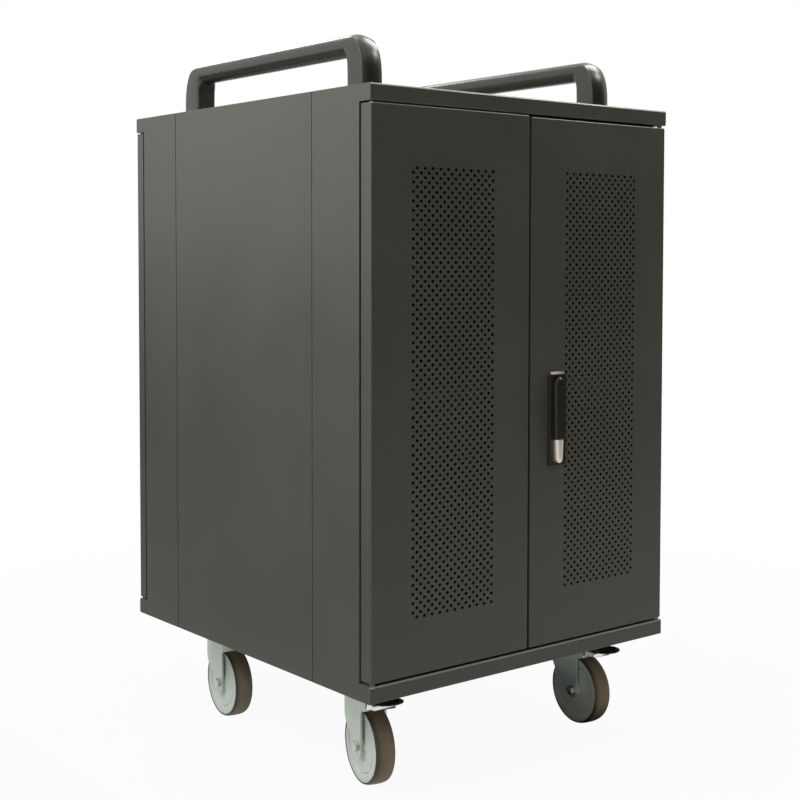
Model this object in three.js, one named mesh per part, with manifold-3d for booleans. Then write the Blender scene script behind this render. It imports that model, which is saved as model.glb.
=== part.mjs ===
// Laptop charging cart: a lockable sheet-steel cabinet on four swivel casters, with two perforated
// front doors, a rear door, a bow handle along each side and racks for standing laptops inside.
// Millimetres, +Z up, front towards -Y, floor at z = 0.
import * as THREE from 'three';
import { mergeGeometries, mergeVertices } from 'three/addons/utils/BufferGeometryUtils.js';
import Module from 'manifold-3d';

const wasm = await Module();
wasm.setup();

// Cabinet
const CABINET_WIDTH = 660;
const CABINET_DEPTH = 720;
const CABINET_HEIGHT = 935;
const CASTER_HEIGHT = 168;
const CAP_BAND = 26;
const BASE_BAND = 27;
const UNDER_RETURN = 27;
const SHEET = 1.5;
const FOLD_RADIUS = 2.5;
const FOLD_STEPS = 2;
const FIT = 0.3;
const SEAM = 1.6;
const FRONT_SEAM = 151;
const REAR_SEAM = 145;
const SEAM_FLANGE = 14.4;
const POST_FLANGE = 30;
const POST_LIP = 16;
const RAIL_SHEET = 3;
const RAIL_HALF_WIDTH = 52;
const RAIL_HALF_LENGTH = 310;

// Doors
const DOOR_POCKET = 28;
const DOOR_SETBACK = 0.5;
const DOOR_DEPTH = 24.5;
const REAR_DOOR_DEPTH = 20.5;
const DOOR_LIP = 12;
const DOOR_SIDE_GAP = 1.5;
const DOOR_SPLIT = 4.4;
const DOOR_BOTTOM_GAP = 3.5;
const LEFT_TOP_GAP = 2;
const RIGHT_TOP_GAP = 4;
const REAR_TOP_GAP = 2;
const PIVOT_INSET = 8;
const PIN_RADIUS = 4;
const PIN_HOLE_RADIUS = 4.6;
const PIN_COLLAR_RADIUS = 6;
const PIN_COLLAR_HEIGHT = 3;
const PIN_REACH = 18;
const PIN_TAIL = 8;
const BUSH_RADIUS = 6.3;
const BUSH_LENGTH = 10;

// Perforated field of a front door, drawn with fewer and larger holes than the punched sheet
const FIELD_CENTRE_X = 165.5;
const FIELD_WIDTH = 164;
const FIELD_HEIGHT = 691;
const FIELD_BOTTOM = 124;
const FIELD_COLUMNS = 6;
const FIELD_ROWS = 23;
const FIELD_HOLE_RADIUS = 9;
const FIELD_HOLE_SIDES = 4;

// Vent slots of the rear door
const VENT_X = 165;
const VENT_LENGTH = 180;
const VENT_HEIGHT = 6;
const VENT_PITCH = 22;
const VENTS_PER_FIELD = 5;
const VENT_BOTTOMS = [90, 735];

// Lock on the right-hand door
const LOCK_X = 58.5;
const LOCK_Z = 464;
const PLATE_WIDTH = 32;
const PLATE_BELOW = 137.5;
const PLATE_ABOVE = 23;
const PLATE_THICKNESS = 4;
const PLATE_CORNER = 5;
const LEVER_PIVOT_REACH = 9.5;
const LEVER_WIDTH = 21;
const LEVER_BELOW = 90.5;
const LEVER_ABOVE = 14;
const LEVER_FRONT = 5;
const LEVER_BACK = 4.5;
const SPINDLE_RADIUS = 4.5;
const KNUCKLE_RADIUS = 3;
const KNUCKLE_LENGTH = 10;
const SPINDLE_HOLE_RADIUS = 6.5;
const CAM_RADIUS = 19;
const CAM_THICKNESS = 3;
const CRANK = 14;
const CRANK_PIN_RADIUS = 3;
const YOKE_CLEARANCE = 3.4;
const ROD_WIDTH = 14;
const ROD_THICKNESS = 2.5;
const ROD_GAP = 1;
const ROD_INSET = 6;
const ROD_SLACK = 0.5;
const KEEPER_SLACK = 1.5;
const KEY_TOP = 92.5;
const KEY_BOTTOM = 129;
const KEY_TOP_WIDTH = 17.5;
const KEY_BOTTOM_WIDTH = 14;
const KEY_DEPTH = 6;
const KEY_PLUG_RADIUS = 5.5;
const BOLT_X = -30;
const BOLT_WIDTH = 12;
const BOLT_THICKNESS = 4;
const BOLT_LENGTH = 145;
const KNOB_RADIUS = 5;
const KNOB_INSET = 12;
const GUIDE_WALL = 5;
const GUIDE_BRIDGE = 2.5;
const GUIDE_HALF_LENGTH = 5;
const BOLT_GUIDE_INSET = 60;
const ROD_GUIDE_INSET = 150;

// Rear lock
const REAR_LOCK_X = 280;
const REAR_LOCK_Z = 462;
const BARREL_RADIUS = 9.5;
const BARREL_FLANGE_RADIUS = 12;
const BARREL_FLANGE = 4.7;
const PLUG_RADIUS = 6.8;
const TONGUE_LENGTH = 42;
const TONGUE_WIDTH = 14;
const TONGUE_THICKNESS = 3;

// Inside
const PARTITION_Y = 135;
const PARTITION_FLANGE = 20;
const CABLE_SLOT_WIDTH = 540;
const CABLE_SLOT_HEIGHT = 36;
const CABLE_SLOT_DROP = 40;
const SHELF_Z = 468;
const SHELF_FLANGE = 20;
const RACK_WIDTH = 594;
const RACK_SLOTS = 12;
const RACK_FLOOR = 3;
const RACK_FRONT_GAP = 22;
const FIN = 3;
const FIN_HEIGHT = 235;
const FIN_FRONT_HEIGHT = 35;
const FIN_FRONT_SLOPE = 60;
const STRIP_HEIGHTS = [250, 690];
const STRIP_LENGTH = 470;
const STRIP_HEIGHT = 42;
const STRIP_DEPTH = 40;
const STRIP_CHAMFER = 6;
const STRIP_OUTLETS = 6;
const OUTLET_WIDTH = 40;
const OUTLET_HEIGHT = 27;
const OUTLET_DEPTH = 2;
const INLET_Y = 275;
const INLET_Z = 120;
const INLET_FLANGE = [16, 27];
const INLET_FLANGE_CORNER = 4;
const INLET_PROUD = 2.8;
const INLET_BODY = [12, 17];
const INLET_WELL = [8.2, 12.2];
const INLET_WELL_CHAMFER = 5;
const INLET_WELL_DEPTH = 17;
const INLET_FLOOR = 8;
const BLADE_PITCH = 7;
const BLADE_LENGTH = 9;

// Bow handles
const HANDLE_X = 257;
const HANDLE_LENGTH = 537;
const HANDLE_HEIGHT = 92;
const HANDLE_WIDTH = 39;
const HANDLE_DEPTH = 35;
const HANDLE_CROWN = 2.5;
const HANDLE_ROUND = 11;
const HANDLE_BEND = 39;
const BEND_STEPS = 5;

// Casters
const CASTER_X = 240;
const CASTER_Y = 215;
const CASTER_TRAIL = 38;
const WHEEL_RADIUS = 62.5;
const WHEEL_FACETS = 20;
const TYRE_WIDTH = 32;
const TYRE_SHOULDER = 4;
const CORE_RADIUS = 56.3;
const CORE_STEP_RADIUS = 44;
const CORE_DISH = 2.2;
const HUB_RADIUS = 14;
const HUB_WIDTH = 37;
const AXLE_RADIUS = 5;
const AXLE_HOLE_RADIUS = 5.6;
const NUT_RADIUS = 9;
const NUT_HEIGHT = 5;
const FORK_GAP = 39.5;
const FORK_SHEET = 3.5;
const FORK_REAR = 34;
const TOP_PLATE = [105, 86, 3.2];
const RACE_RADIUS = 31;
const KINGPIN_RADIUS = 6;
const KINGPIN_HEAD_RADIUS = 10;
const CROWN_TOP = 150;
const RACE_SPLIT = 157;
const PEDAL_PIVOT = [-66, 136];
const PEDAL_PAD = [46, 42, 5];
const PEDAL_PAD_CENTRE = [-104, 147];
const PEDAL_TILT = 10;
const CASTERS = [
  { name: 'front_left', x: -1, y: -1, turn: -12.4, braked: true },
  { name: 'front_right', x: 1, y: -1, turn: -5.5, braked: true },
  { name: 'rear_left', x: -1, y: 1, turn: -6, braked: false },
  { name: 'rear_right', x: 1, y: 1, turn: -9, braked: false },
];

// Places worked out from those sizes
const SIDE = CABINET_WIDTH / 2;
const FRONT = -CABINET_DEPTH / 2;
const REAR = CABINET_DEPTH / 2;
const BASE_BOTTOM = CASTER_HEIGHT;
const BASE_TOP = BASE_BOTTOM + BASE_BAND;
const CAP_TOP = BASE_BOTTOM + CABINET_HEIGHT;
const CAP_BOTTOM = CAP_TOP - CAP_BAND;
const FRAME_BOTTOM = BASE_TOP + FIT;
const FRAME_TOP = CAP_TOP - SHEET - FIT;
const SHEET_REACH = SIDE - SHEET - FIT;
const DOOR_FACE = FRONT + DOOR_SETBACK;
const DOOR_SKIN = DOOR_FACE + SHEET;
const DOOR_BACK = DOOR_FACE + DOOR_DEPTH;
const DOOR_EDGE = SIDE - DOOR_SIDE_GAP;
const DOOR_BOTTOM = BASE_TOP + DOOR_BOTTOM_GAP;
const LEFT_DOOR_TOP = CAP_BOTTOM - LEFT_TOP_GAP;
const RIGHT_DOOR_TOP = CAP_BOTTOM - RIGHT_TOP_GAP;
const REAR_DOOR_TOP = CAP_BOTTOM - REAR_TOP_GAP;
const PIVOT_X = SIDE - PIVOT_INSET;
const PIVOT_Y = FRONT + PIVOT_INSET;
const LOCK_HEIGHT = BASE_BOTTOM + LOCK_Z;
const PLATE_FACE = DOOR_FACE - FIT - PLATE_THICKNESS;
const LEVER_PIVOT_Y = DOOR_FACE - LEVER_PIVOT_REACH;
const UPPER_ROD_Y = [DOOR_SKIN + ROD_INSET, DOOR_SKIN + ROD_INSET + ROD_THICKNESS];
const LOWER_ROD_Y = [UPPER_ROD_Y[1] + ROD_GAP, UPPER_ROD_Y[1] + ROD_GAP + ROD_THICKNESS];
const BOLT_Y = [DOOR_SKIN + ROD_INSET, DOOR_SKIN + ROD_INSET + BOLT_THICKNESS];
const SHELF_TOP = BASE_BOTTOM + SHELF_Z;
const RACK_FRONT = FRONT + DOOR_POCKET + RACK_FRONT_GAP;
const RACK_BACK = PARTITION_Y - 5;
const LEVER_REACH = LEVER_PIVOT_REACH + LEVER_FRONT - DOOR_SETBACK;
const BARREL_REACH = BARREL_FLANGE + FIT - DOOR_SETBACK;
const CENTRE_SHIFT = (LEVER_REACH - BARREL_REACH) / 2;

// Finishes
const paint = new THREE.MeshStandardMaterial({ color: 0x4b4a45, roughness: 0.5, metalness: 0.1 });
const zinc = new THREE.MeshStandardMaterial({ color: 0xb4bdb4, roughness: 0.4, metalness: 0.9 });
const steel = new THREE.MeshStandardMaterial({ color: 0xc2c2bd, roughness: 0.3, metalness: 1 });
const blackPlastic = new THREE.MeshStandardMaterial({ color: 0x16171a, roughness: 0.45 });
const corePlastic = new THREE.MeshStandardMaterial({ color: 0xc3c8c4, roughness: 0.5 });
const rubber = new THREE.MeshStandardMaterial({ color: 0x4f463d, roughness: 0.75 });
const rackPlastic = new THREE.MeshStandardMaterial({ color: 0x2b2c2e, roughness: 0.6 });

// Solids and their meshes

// A closed geometry as a solid, without the slivers that close on themselves at a pole.
function solid(geometry) {
  const bare = geometry.clone();
  bare.deleteAttribute('normal');
  bare.deleteAttribute('uv');
  const merged = mergeVertices(bare, 1e-4);
  const corners = merged.index.array;
  const triangles = [];
  for (let i = 0; i < corners.length; i += 3) {
    const [a, b, c] = corners.slice(i, i + 3);
    if (a !== b && b !== c && c !== a) triangles.push(a, b, c);
  }
  const vertProperties = new Float32Array(merged.attributes.position.array);
  const triVerts = new Uint32Array(triangles);
  return new wasm.Manifold(new wasm.Mesh({ numProp: 3, vertProperties, triVerts }));
}

function join(...bodies) {
  return bodies.reduce((whole, body) => whole.add(body));
}

function cut(body, ...cutters) {
  return cutters.reduce((rest, cutter) => rest.subtract(cutter), body);
}

function piece(name, body, finish) {
  const { vertProperties, triVerts } = body.getMesh();
  const geometry = new THREE.BufferGeometry();
  geometry.setAttribute('position', new THREE.BufferAttribute(vertProperties, 3));
  geometry.setIndex(new THREE.BufferAttribute(triVerts, 1));
  geometry.computeVertexNormals();
  const mesh = new THREE.Mesh(geometry, finish);
  mesh.name = name;
  return mesh;
}

// Basic forms

const AXIS_X = new THREE.Vector3(1, 0, 0);
const AXIS_Y = new THREE.Vector3(0, 1, 0);
const AXIS_Z = new THREE.Vector3(0, 0, 1);
const SIDE_VIEW = new THREE.Matrix4().makeBasis(AXIS_Y, AXIS_Z, AXIS_X);
const FRONT_VIEW = new THREE.Matrix4().makeBasis(AXIS_X, AXIS_Z, AXIS_Y.clone().negate());

function box([x0, x1], [y0, y1], [z0, z1]) {
  const geometry = new THREE.BoxGeometry(x1 - x0, y1 - y0, z1 - z0);
  geometry.translate((x0 + x1) / 2, (y0 + y1) / 2, (z0 + z1) / 2);
  return solid(geometry);
}

function outline(points) {
  return new THREE.Shape(points.map(([u, v]) => new THREE.Vector2(u, v)));
}

function extrusion(shape, depth) {
  return new THREE.ExtrudeGeometry(shape, { depth, steps: 1, bevelEnabled: false, curveSegments: 2 });
}

// Plan outline (x, y) pushed upwards.
function upright(shape, [z0, z1]) {
  return solid(extrusion(shape, z1 - z0).translate(0, 0, z0));
}

// Side outline (y, z) pushed along x.
function across(shape, [x0, x1]) {
  return solid(extrusion(shape, x1 - x0).applyMatrix4(SIDE_VIEW).translate(x0, 0, 0));
}

// Front outline (x, z) pushed along y.
function through(shape, [y0, y1]) {
  return solid(extrusion(shape, y1 - y0).applyMatrix4(FRONT_VIEW).translate(0, y1, 0));
}

function cylinderX(radius, [x0, x1], [y, z], sides = 12) {
  const geometry = new THREE.CylinderGeometry(radius, radius, x1 - x0, sides);
  return solid(geometry.rotateZ(Math.PI / 2).translate((x0 + x1) / 2, y, z));
}

function cylinderY(radius, [y0, y1], [x, z], sides = 12) {
  const geometry = new THREE.CylinderGeometry(radius, radius, y1 - y0, sides);
  return solid(geometry.translate(x, (y0 + y1) / 2, z));
}

function cylinderZ(radius, [z0, z1], [x, y], sides = 12) {
  const geometry = new THREE.CylinderGeometry(radius, radius, z1 - z0, sides);
  return solid(geometry.rotateX(Math.PI / 2).translate(x, y, (z0 + z1) / 2));
}

// Profile of [radius, height] points, listed upwards along its outside, turned about the z axis.
function turned(profile, sides) {
  const points = profile.map(([radius, height]) => new THREE.Vector2(radius, height));
  const geometry = new THREE.LatheGeometry(points, sides, Math.PI / sides);
  return geometry.rotateX(Math.PI / 2);
}

function roundedRectangle([u0, u1], [v0, v1], radius) {
  const shape = new THREE.Shape();
  shape.moveTo(u0 + radius, v0);
  shape.lineTo(u1 - radius, v0);
  shape.absarc(u1 - radius, v0 + radius, radius, -Math.PI / 2, 0);
  shape.lineTo(u1, v1 - radius);
  shape.absarc(u1 - radius, v1 - radius, radius, 0, Math.PI / 2);
  shape.lineTo(u0 + radius, v1);
  shape.absarc(u0 + radius, v1 - radius, radius, Math.PI / 2, Math.PI);
  shape.lineTo(u0, v0 + radius);
  shape.absarc(u0 + radius, v0 + radius, radius, Math.PI, Math.PI * 1.5);
  return shape;
}

// Outline of a sheet folded along a path of corners, with its thickness to the left of the path.
function foldedSheet(path, thickness = SHEET) {
  const outer = path.map(([u, v]) => new THREE.Vector2(u, v));
  const leftOf = (from, to) => {
    const along = to.clone().sub(from).normalize();
    return new THREE.Vector2(-along.y, along.x);
  };
  const inner = outer.map((corner, i) => {
    const before = leftOf(outer[Math.max(i - 1, 0)], outer[Math.max(i, 1)]);
    const last = outer.length - 1;
    const after = leftOf(outer[Math.min(i, last - 1)], outer[Math.min(i + 1, last)]);
    const mitre = before.clone().add(after).divideScalar(1 + before.dot(after));
    return corner.clone().addScaledVector(mitre, thickness);
  });
  return new THREE.Shape([...outer, ...inner.reverse()]);
}

// Points of a quarter turn of a fold about a centre, anticlockwise from an angle in degrees.
function foldArc(u, v, radius, from) {
  return Array.from({ length: FOLD_STEPS + 1 }, (_, i) => {
    const angle = THREE.MathUtils.degToRad(from + (90 * i) / FOLD_STEPS);
    return [u + radius * Math.cos(angle), v + radius * Math.sin(angle)];
  });
}

// Cabinet shell

// Cap and base are one sheet each, bent round to a band and an under-return at the front and the rear.
function bandedSheet(bottom, top) {
  const bends = (radius) => [
    ...foldArc(REAR - FOLD_RADIUS, bottom + FOLD_RADIUS, radius, -90),
    ...foldArc(REAR - FOLD_RADIUS, top - FOLD_RADIUS, radius, 0),
    ...foldArc(FRONT + FOLD_RADIUS, top - FOLD_RADIUS, radius, 90),
    ...foldArc(FRONT + FOLD_RADIUS, bottom + FOLD_RADIUS, radius, 180),
  ];
  const outer = [
    [REAR - UNDER_RETURN, bottom],
    ...bends(FOLD_RADIUS),
    [FRONT + UNDER_RETURN, bottom],
  ];
  const inner = [
    [FRONT + UNDER_RETURN, bottom + SHEET],
    ...bends(FOLD_RADIUS - SHEET).reverse(),
    [REAR - UNDER_RETURN, bottom + SHEET],
  ];
  return across(outline([...outer, ...inner]), [-SHEET_REACH, SHEET_REACH]);
}

// Holes for the pivot pins of the front doors and of the rear door.
function pivotHoles([z0, z1]) {
  const places = [[-PIVOT_X, PIVOT_Y], [PIVOT_X, PIVOT_Y], [-PIVOT_X, -PIVOT_Y]];
  return join(...places.map((place) => cylinderZ(PIN_HOLE_RADIUS, [z0, z1], place, 8)));
}

// Slots that take the ends of the lock rod and of the left-hand door's bolt.
function keeperSlots(rodY, [z0, z1]) {
  const slot = (x, width, [y0, y1]) => {
    const half = width / 2 + KEEPER_SLACK;
    return box([x - half, x + half], [y0 - KEEPER_SLACK, y1 + KEEPER_SLACK], [z0, z1]);
  };
  return join(slot(LOCK_X, ROD_WIDTH, rodY), slot(BOLT_X, BOLT_WIDTH, BOLT_Y));
}

function topCap() {
  const pierced = [CAP_BOTTOM - SHEET, CAP_BOTTOM + 2 * SHEET];
  return cut(bandedSheet(CAP_BOTTOM, CAP_TOP), pivotHoles(pierced), keeperSlots(UPPER_ROD_Y, pierced));
}

// Inverted channel along x that a pair of casters bolts to.
function casterRail(y) {
  const path = [
    [y - RAIL_HALF_WIDTH, BASE_TOP - SHEET / 2],
    [y - RAIL_HALF_WIDTH, BASE_BOTTOM],
    [y + RAIL_HALF_WIDTH, BASE_BOTTOM],
    [y + RAIL_HALF_WIDTH, BASE_TOP - SHEET / 2],
  ];
  return across(foldedSheet(path, RAIL_SHEET), [-RAIL_HALF_LENGTH, RAIL_HALF_LENGTH]);
}

function baseTray() {
  const pierced = [BASE_TOP - 2 * SHEET, BASE_TOP + SHEET];
  const tray = join(bandedSheet(BASE_BOTTOM, BASE_TOP), casterRail(-CASTER_Y), casterRail(CASTER_Y));
  return cut(tray, pivotHoles(pierced), keeperSlots(LOWER_ROD_Y, pierced));
}

// A post is the strip of the side between a seam and the corner. Its ears reach past the door's top
// and bottom to the front or rear plane, and its flange is what the door closes against.
function post(side, end) {
  const face = REAR - DOOR_POCKET;
  const seam = REAR - (end < 0 ? FRONT_SEAM : REAR_SEAM) + SEAM / 2;
  const ear = (z, from) => foldArc(REAR - FOLD_RADIUS, z, FOLD_RADIUS, from);
  const wall = [
    [seam, BASE_BOTTOM],
    ...ear(BASE_BOTTOM + FOLD_RADIUS, -90),
    ...ear(BASE_TOP - FOLD_RADIUS, 0),
    [face, BASE_TOP],
    [face, CAP_BOTTOM],
    ...ear(CAP_BOTTOM + FOLD_RADIUS, -90),
    ...ear(CAP_TOP - FOLD_RADIUS, 0),
    [seam, CAP_TOP],
  ];
  const lip = end < 0 ? [[SIDE - POST_FLANGE, face - POST_LIP]] : [];
  const folds = [
    [SIDE - SEAM_FLANGE, seam],
    [SIDE, seam],
    [SIDE, face],
    [SIDE - POST_FLANGE, face],
    ...lip,
  ];
  const mirrored = wall.map(([y, z]) => [end * y, z]);
  const turnedFolds = folds.map(([x, y]) => [side * x, end * y]);
  if (side * end < 0) turnedFolds.reverse();
  const wallX = side < 0 ? [-SIDE, -SIDE + SHEET] : [SIDE - SHEET, SIDE];
  return join(
    across(outline(mirrored), wallX),
    upright(foldedSheet(turnedFolds), [FRAME_BOTTOM, FRAME_TOP]),
  );
}

function sidePanel(side) {
  const front = FRONT + FRONT_SEAM + SEAM / 2;
  const rear = REAR - REAR_SEAM - SEAM / 2;
  const folds = [
    [side * (SIDE - SEAM_FLANGE), front],
    [side * SIDE, front],
    [side * SIDE, rear],
    [side * (SIDE - SEAM_FLANGE), rear],
  ];
  if (side < 0) folds.reverse();
  const wallX = side < 0 ? [-SIDE, -SIDE + SHEET] : [SIDE - SHEET, SIDE];
  return join(
    box(wallX, [front, rear], [BASE_BOTTOM, CAP_TOP]),
    upright(foldedSheet(folds), [FRAME_BOTTOM, FRAME_TOP]),
  );
}

// Doors

// Folded door, open at the back: skin, four returns, and a lip along each upright edge.
function doorTray([x0, x1], top, depth) {
  const inner = [x0 + SHEET, x1 - SHEET];
  const height = [DOOR_BOTTOM + SHEET, top - SHEET];
  const back = DOOR_FACE + depth;
  return cut(
    box([x0, x1], [DOOR_FACE, back], [DOOR_BOTTOM, top]),
    box(inner, [DOOR_SKIN, back - SHEET], height),
    box([x0 + DOOR_LIP, x1 - DOOR_LIP], [back - 2 * SHEET, back + SHEET], height),
  );
}

// Bushes in the top and bottom returns that the pivot pins run in.
function withBushes(door, x, top) {
  const ends = [
    [top - SHEET / 2 - BUSH_LENGTH, top - SHEET / 2],
    [DOOR_BOTTOM + SHEET / 2, DOOR_BOTTOM + SHEET / 2 + BUSH_LENGTH],
  ];
  const bushes = ends.map((span) => cylinderZ(BUSH_RADIUS, span, [x, PIVOT_Y], 10));
  const bores = ends.map(([z0, z1]) => cylinderZ(PIN_HOLE_RADIUS, [z0 - 5, z1 + 5], [x, PIVOT_Y], 8));
  return cut(join(door, ...bushes), ...bores);
}

// Staggered holes: each row fills every other column and is shifted by one column from the last.
function perforation(centre, shift) {
  const pitchX = FIELD_WIDTH / (FIELD_COLUMNS - 1);
  const pitchZ = FIELD_HEIGHT / (FIELD_ROWS - 1);
  const depth = 4 * SHEET;
  const holes = [];
  for (let row = 0; row < FIELD_ROWS; row += 1) {
    for (let column = (row + shift) % 2; column < FIELD_COLUMNS; column += 2) {
      const x = centre - FIELD_WIDTH / 2 + column * pitchX;
      const z = BASE_BOTTOM + FIELD_BOTTOM + row * pitchZ;
      const hole = new THREE.CylinderGeometry(FIELD_HOLE_RADIUS, FIELD_HOLE_RADIUS, depth, FIELD_HOLE_SIDES);
      holes.push(hole.translate(x, DOOR_FACE, z));
    }
  }
  return solid(mergeGeometries(holes));
}

// Bracket on the door's skin that a flat rod or bolt slides in.
function guide(x, width, [y0, y1], z) {
  const half = width / 2 + ROD_SLACK;
  const bracket = box(
    [x - half - GUIDE_WALL, x + half + GUIDE_WALL],
    [DOOR_SKIN - SHEET / 2, y1 + GUIDE_BRIDGE],
    [z - GUIDE_HALF_LENGTH, z + GUIDE_HALF_LENGTH],
  );
  const passage = [z - 2 * GUIDE_HALF_LENGTH, z + 2 * GUIDE_HALF_LENGTH];
  return cut(bracket, box([x - half, x + half], [y0 - ROD_SLACK, y1 + ROD_SLACK], passage));
}

function barSlot(x, width, [y0, y1], z) {
  const half = width / 2 + ROD_SLACK;
  return box([x - half, x + half], [y0 - ROD_SLACK, y1 + ROD_SLACK], [z - 2 * SHEET, z + 2 * SHEET]);
}

function leftDoor() {
  const plain = doorTray([-DOOR_EDGE, -DOOR_SPLIT / 2], LEFT_DOOR_TOP, DOOR_DEPTH);
  const upper = guide(BOLT_X, BOLT_WIDTH, BOLT_Y, LEFT_DOOR_TOP - BOLT_GUIDE_INSET);
  const lower = guide(BOLT_X, BOLT_WIDTH, BOLT_Y, DOOR_BOTTOM + BOLT_GUIDE_INSET);
  return cut(
    withBushes(join(plain, upper, lower), -PIVOT_X, LEFT_DOOR_TOP),
    perforation(-FIELD_CENTRE_X, 1),
    barSlot(BOLT_X, BOLT_WIDTH, BOLT_Y, LEFT_DOOR_TOP),
    barSlot(BOLT_X, BOLT_WIDTH, BOLT_Y, DOOR_BOTTOM),
  );
}

function rightDoor() {
  const plain = doorTray([DOOR_SPLIT / 2, DOOR_EDGE], RIGHT_DOOR_TOP, DOOR_DEPTH);
  const upper = guide(LOCK_X, ROD_WIDTH, UPPER_ROD_Y, RIGHT_DOOR_TOP - ROD_GUIDE_INSET);
  const lower = guide(LOCK_X, ROD_WIDTH, LOWER_ROD_Y, DOOR_BOTTOM + ROD_GUIDE_INSET);
  const spindleHole = [DOOR_FACE - SHEET, DOOR_SKIN + SHEET];
  return cut(
    withBushes(join(plain, upper, lower), PIVOT_X, RIGHT_DOOR_TOP),
    perforation(FIELD_CENTRE_X, 0),
    barSlot(LOCK_X, ROD_WIDTH, UPPER_ROD_Y, RIGHT_DOOR_TOP),
    barSlot(LOCK_X, ROD_WIDTH, LOWER_ROD_Y, DOOR_BOTTOM),
    cylinderY(SPINDLE_HOLE_RADIUS, spindleHole, [LOCK_X, LOCK_HEIGHT]),
  );
}

// The rear door is drawn like a front one and turned half round.
function rearDoor() {
  const tray = doorTray([-DOOR_EDGE, DOOR_EDGE], REAR_DOOR_TOP, REAR_DOOR_DEPTH);
  const plain = withBushes(tray, PIVOT_X, REAR_DOOR_TOP);
  const vents = [];
  for (const bottom of VENT_BOTTOMS) {
    for (let row = 0; row < VENTS_PER_FIELD; row += 1) {
      const z = BASE_BOTTOM + bottom + row * VENT_PITCH;
      for (const x of [-VENT_X, VENT_X]) {
        const span = [x - VENT_LENGTH / 2, x + VENT_LENGTH / 2];
        vents.push(box(span, [DOOR_FACE - SHEET, DOOR_SKIN + SHEET], [z, z + VENT_HEIGHT]));
      }
    }
  }
  const barrelHole = [DOOR_FACE - SHEET, DOOR_SKIN + SHEET];
  const lockPlace = [-REAR_LOCK_X, BASE_BOTTOM + REAR_LOCK_Z];
  return cut(plain, ...vents, cylinderY(BARREL_RADIUS + 2 * FIT, barrelHole, lockPlace));
}

// Pivot pin from the base up into a door, with the collar that the door rests on.
function lowerPin() {
  const collar = BASE_TOP + FIT;
  return solid(turned([
    [0, BASE_TOP - PIN_TAIL],
    [PIN_RADIUS, BASE_TOP - PIN_TAIL],
    [PIN_RADIUS, collar],
    [PIN_COLLAR_RADIUS, collar],
    [PIN_COLLAR_RADIUS, collar + PIN_COLLAR_HEIGHT],
    [PIN_RADIUS, collar + PIN_COLLAR_HEIGHT],
    [PIN_RADIUS, DOOR_BOTTOM + PIN_REACH],
    [0, DOOR_BOTTOM + PIN_REACH],
  ], 8));
}

// Pivot pin hung from the cap down into a door, its head above the under-return.
function upperPin(doorTop) {
  const head = CAP_BOTTOM + SHEET + FIT;
  return solid(turned([
    [0, doorTop - PIN_REACH],
    [PIN_RADIUS, doorTop - PIN_REACH],
    [PIN_RADIUS, head],
    [PIN_COLLAR_RADIUS, head],
    [PIN_COLLAR_RADIUS, head + PIN_COLLAR_HEIGHT],
    [0, head + PIN_COLLAR_HEIGHT],
  ], 8));
}

function pinPair(name, x, y, doorTop) {
  const lower = piece(`${name}_lower_pin`, lowerPin(), steel);
  const upper = piece(`${name}_upper_pin`, upperPin(doorTop), steel);
  lower.position.set(x, y, 0);
  upper.position.set(x, y, 0);
  return [lower, upper];
}

// Lock of the right-hand door

function lockPlate() {
  const half = PLATE_WIDTH / 2;
  const height = [LOCK_HEIGHT - PLATE_BELOW, LOCK_HEIGHT + PLATE_ABOVE];
  const shape = roundedRectangle([LOCK_X - half, LOCK_X + half], height, PLATE_CORNER);
  const hole = [PLATE_FACE - 1, DOOR_FACE + 1];
  return cut(
    through(shape, [PLATE_FACE, DOOR_FACE - FIT]),
    cylinderY(SPINDLE_HOLE_RADIUS, hole, [LOCK_X, LOCK_HEIGHT]),
  );
}

// Shaft through plate and door, with the knuckle that the lever tilts on and the cam with its pins.
function lockSpindle() {
  const place = [LOCK_X, LOCK_HEIGHT];
  const camY = [UPPER_ROD_Y[0] - ROD_GAP - CAM_THICKNESS, UPPER_ROD_Y[0] - ROD_GAP];
  const pinStart = camY[1] - CAM_THICKNESS / 2;
  const knuckleX = [LOCK_X - KNUCKLE_LENGTH / 2, LOCK_X + KNUCKLE_LENGTH / 2];
  const knuckle = cylinderX(KNUCKLE_RADIUS, knuckleX, [LEVER_PIVOT_Y, LOCK_HEIGHT]);
  return join(
    cylinderY(SPINDLE_RADIUS, [LEVER_PIVOT_Y, camY[1]], place),
    knuckle,
    cylinderY(CAM_RADIUS, camY, place, 16),
    cylinderY(CRANK_PIN_RADIUS, [pinStart, UPPER_ROD_Y[1]], [LOCK_X + CRANK, LOCK_HEIGHT], 10),
    cylinderY(CRANK_PIN_RADIUS, [pinStart, LOWER_ROD_Y[1]], [LOCK_X - CRANK, LOCK_HEIGHT], 10),
  );
}

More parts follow.
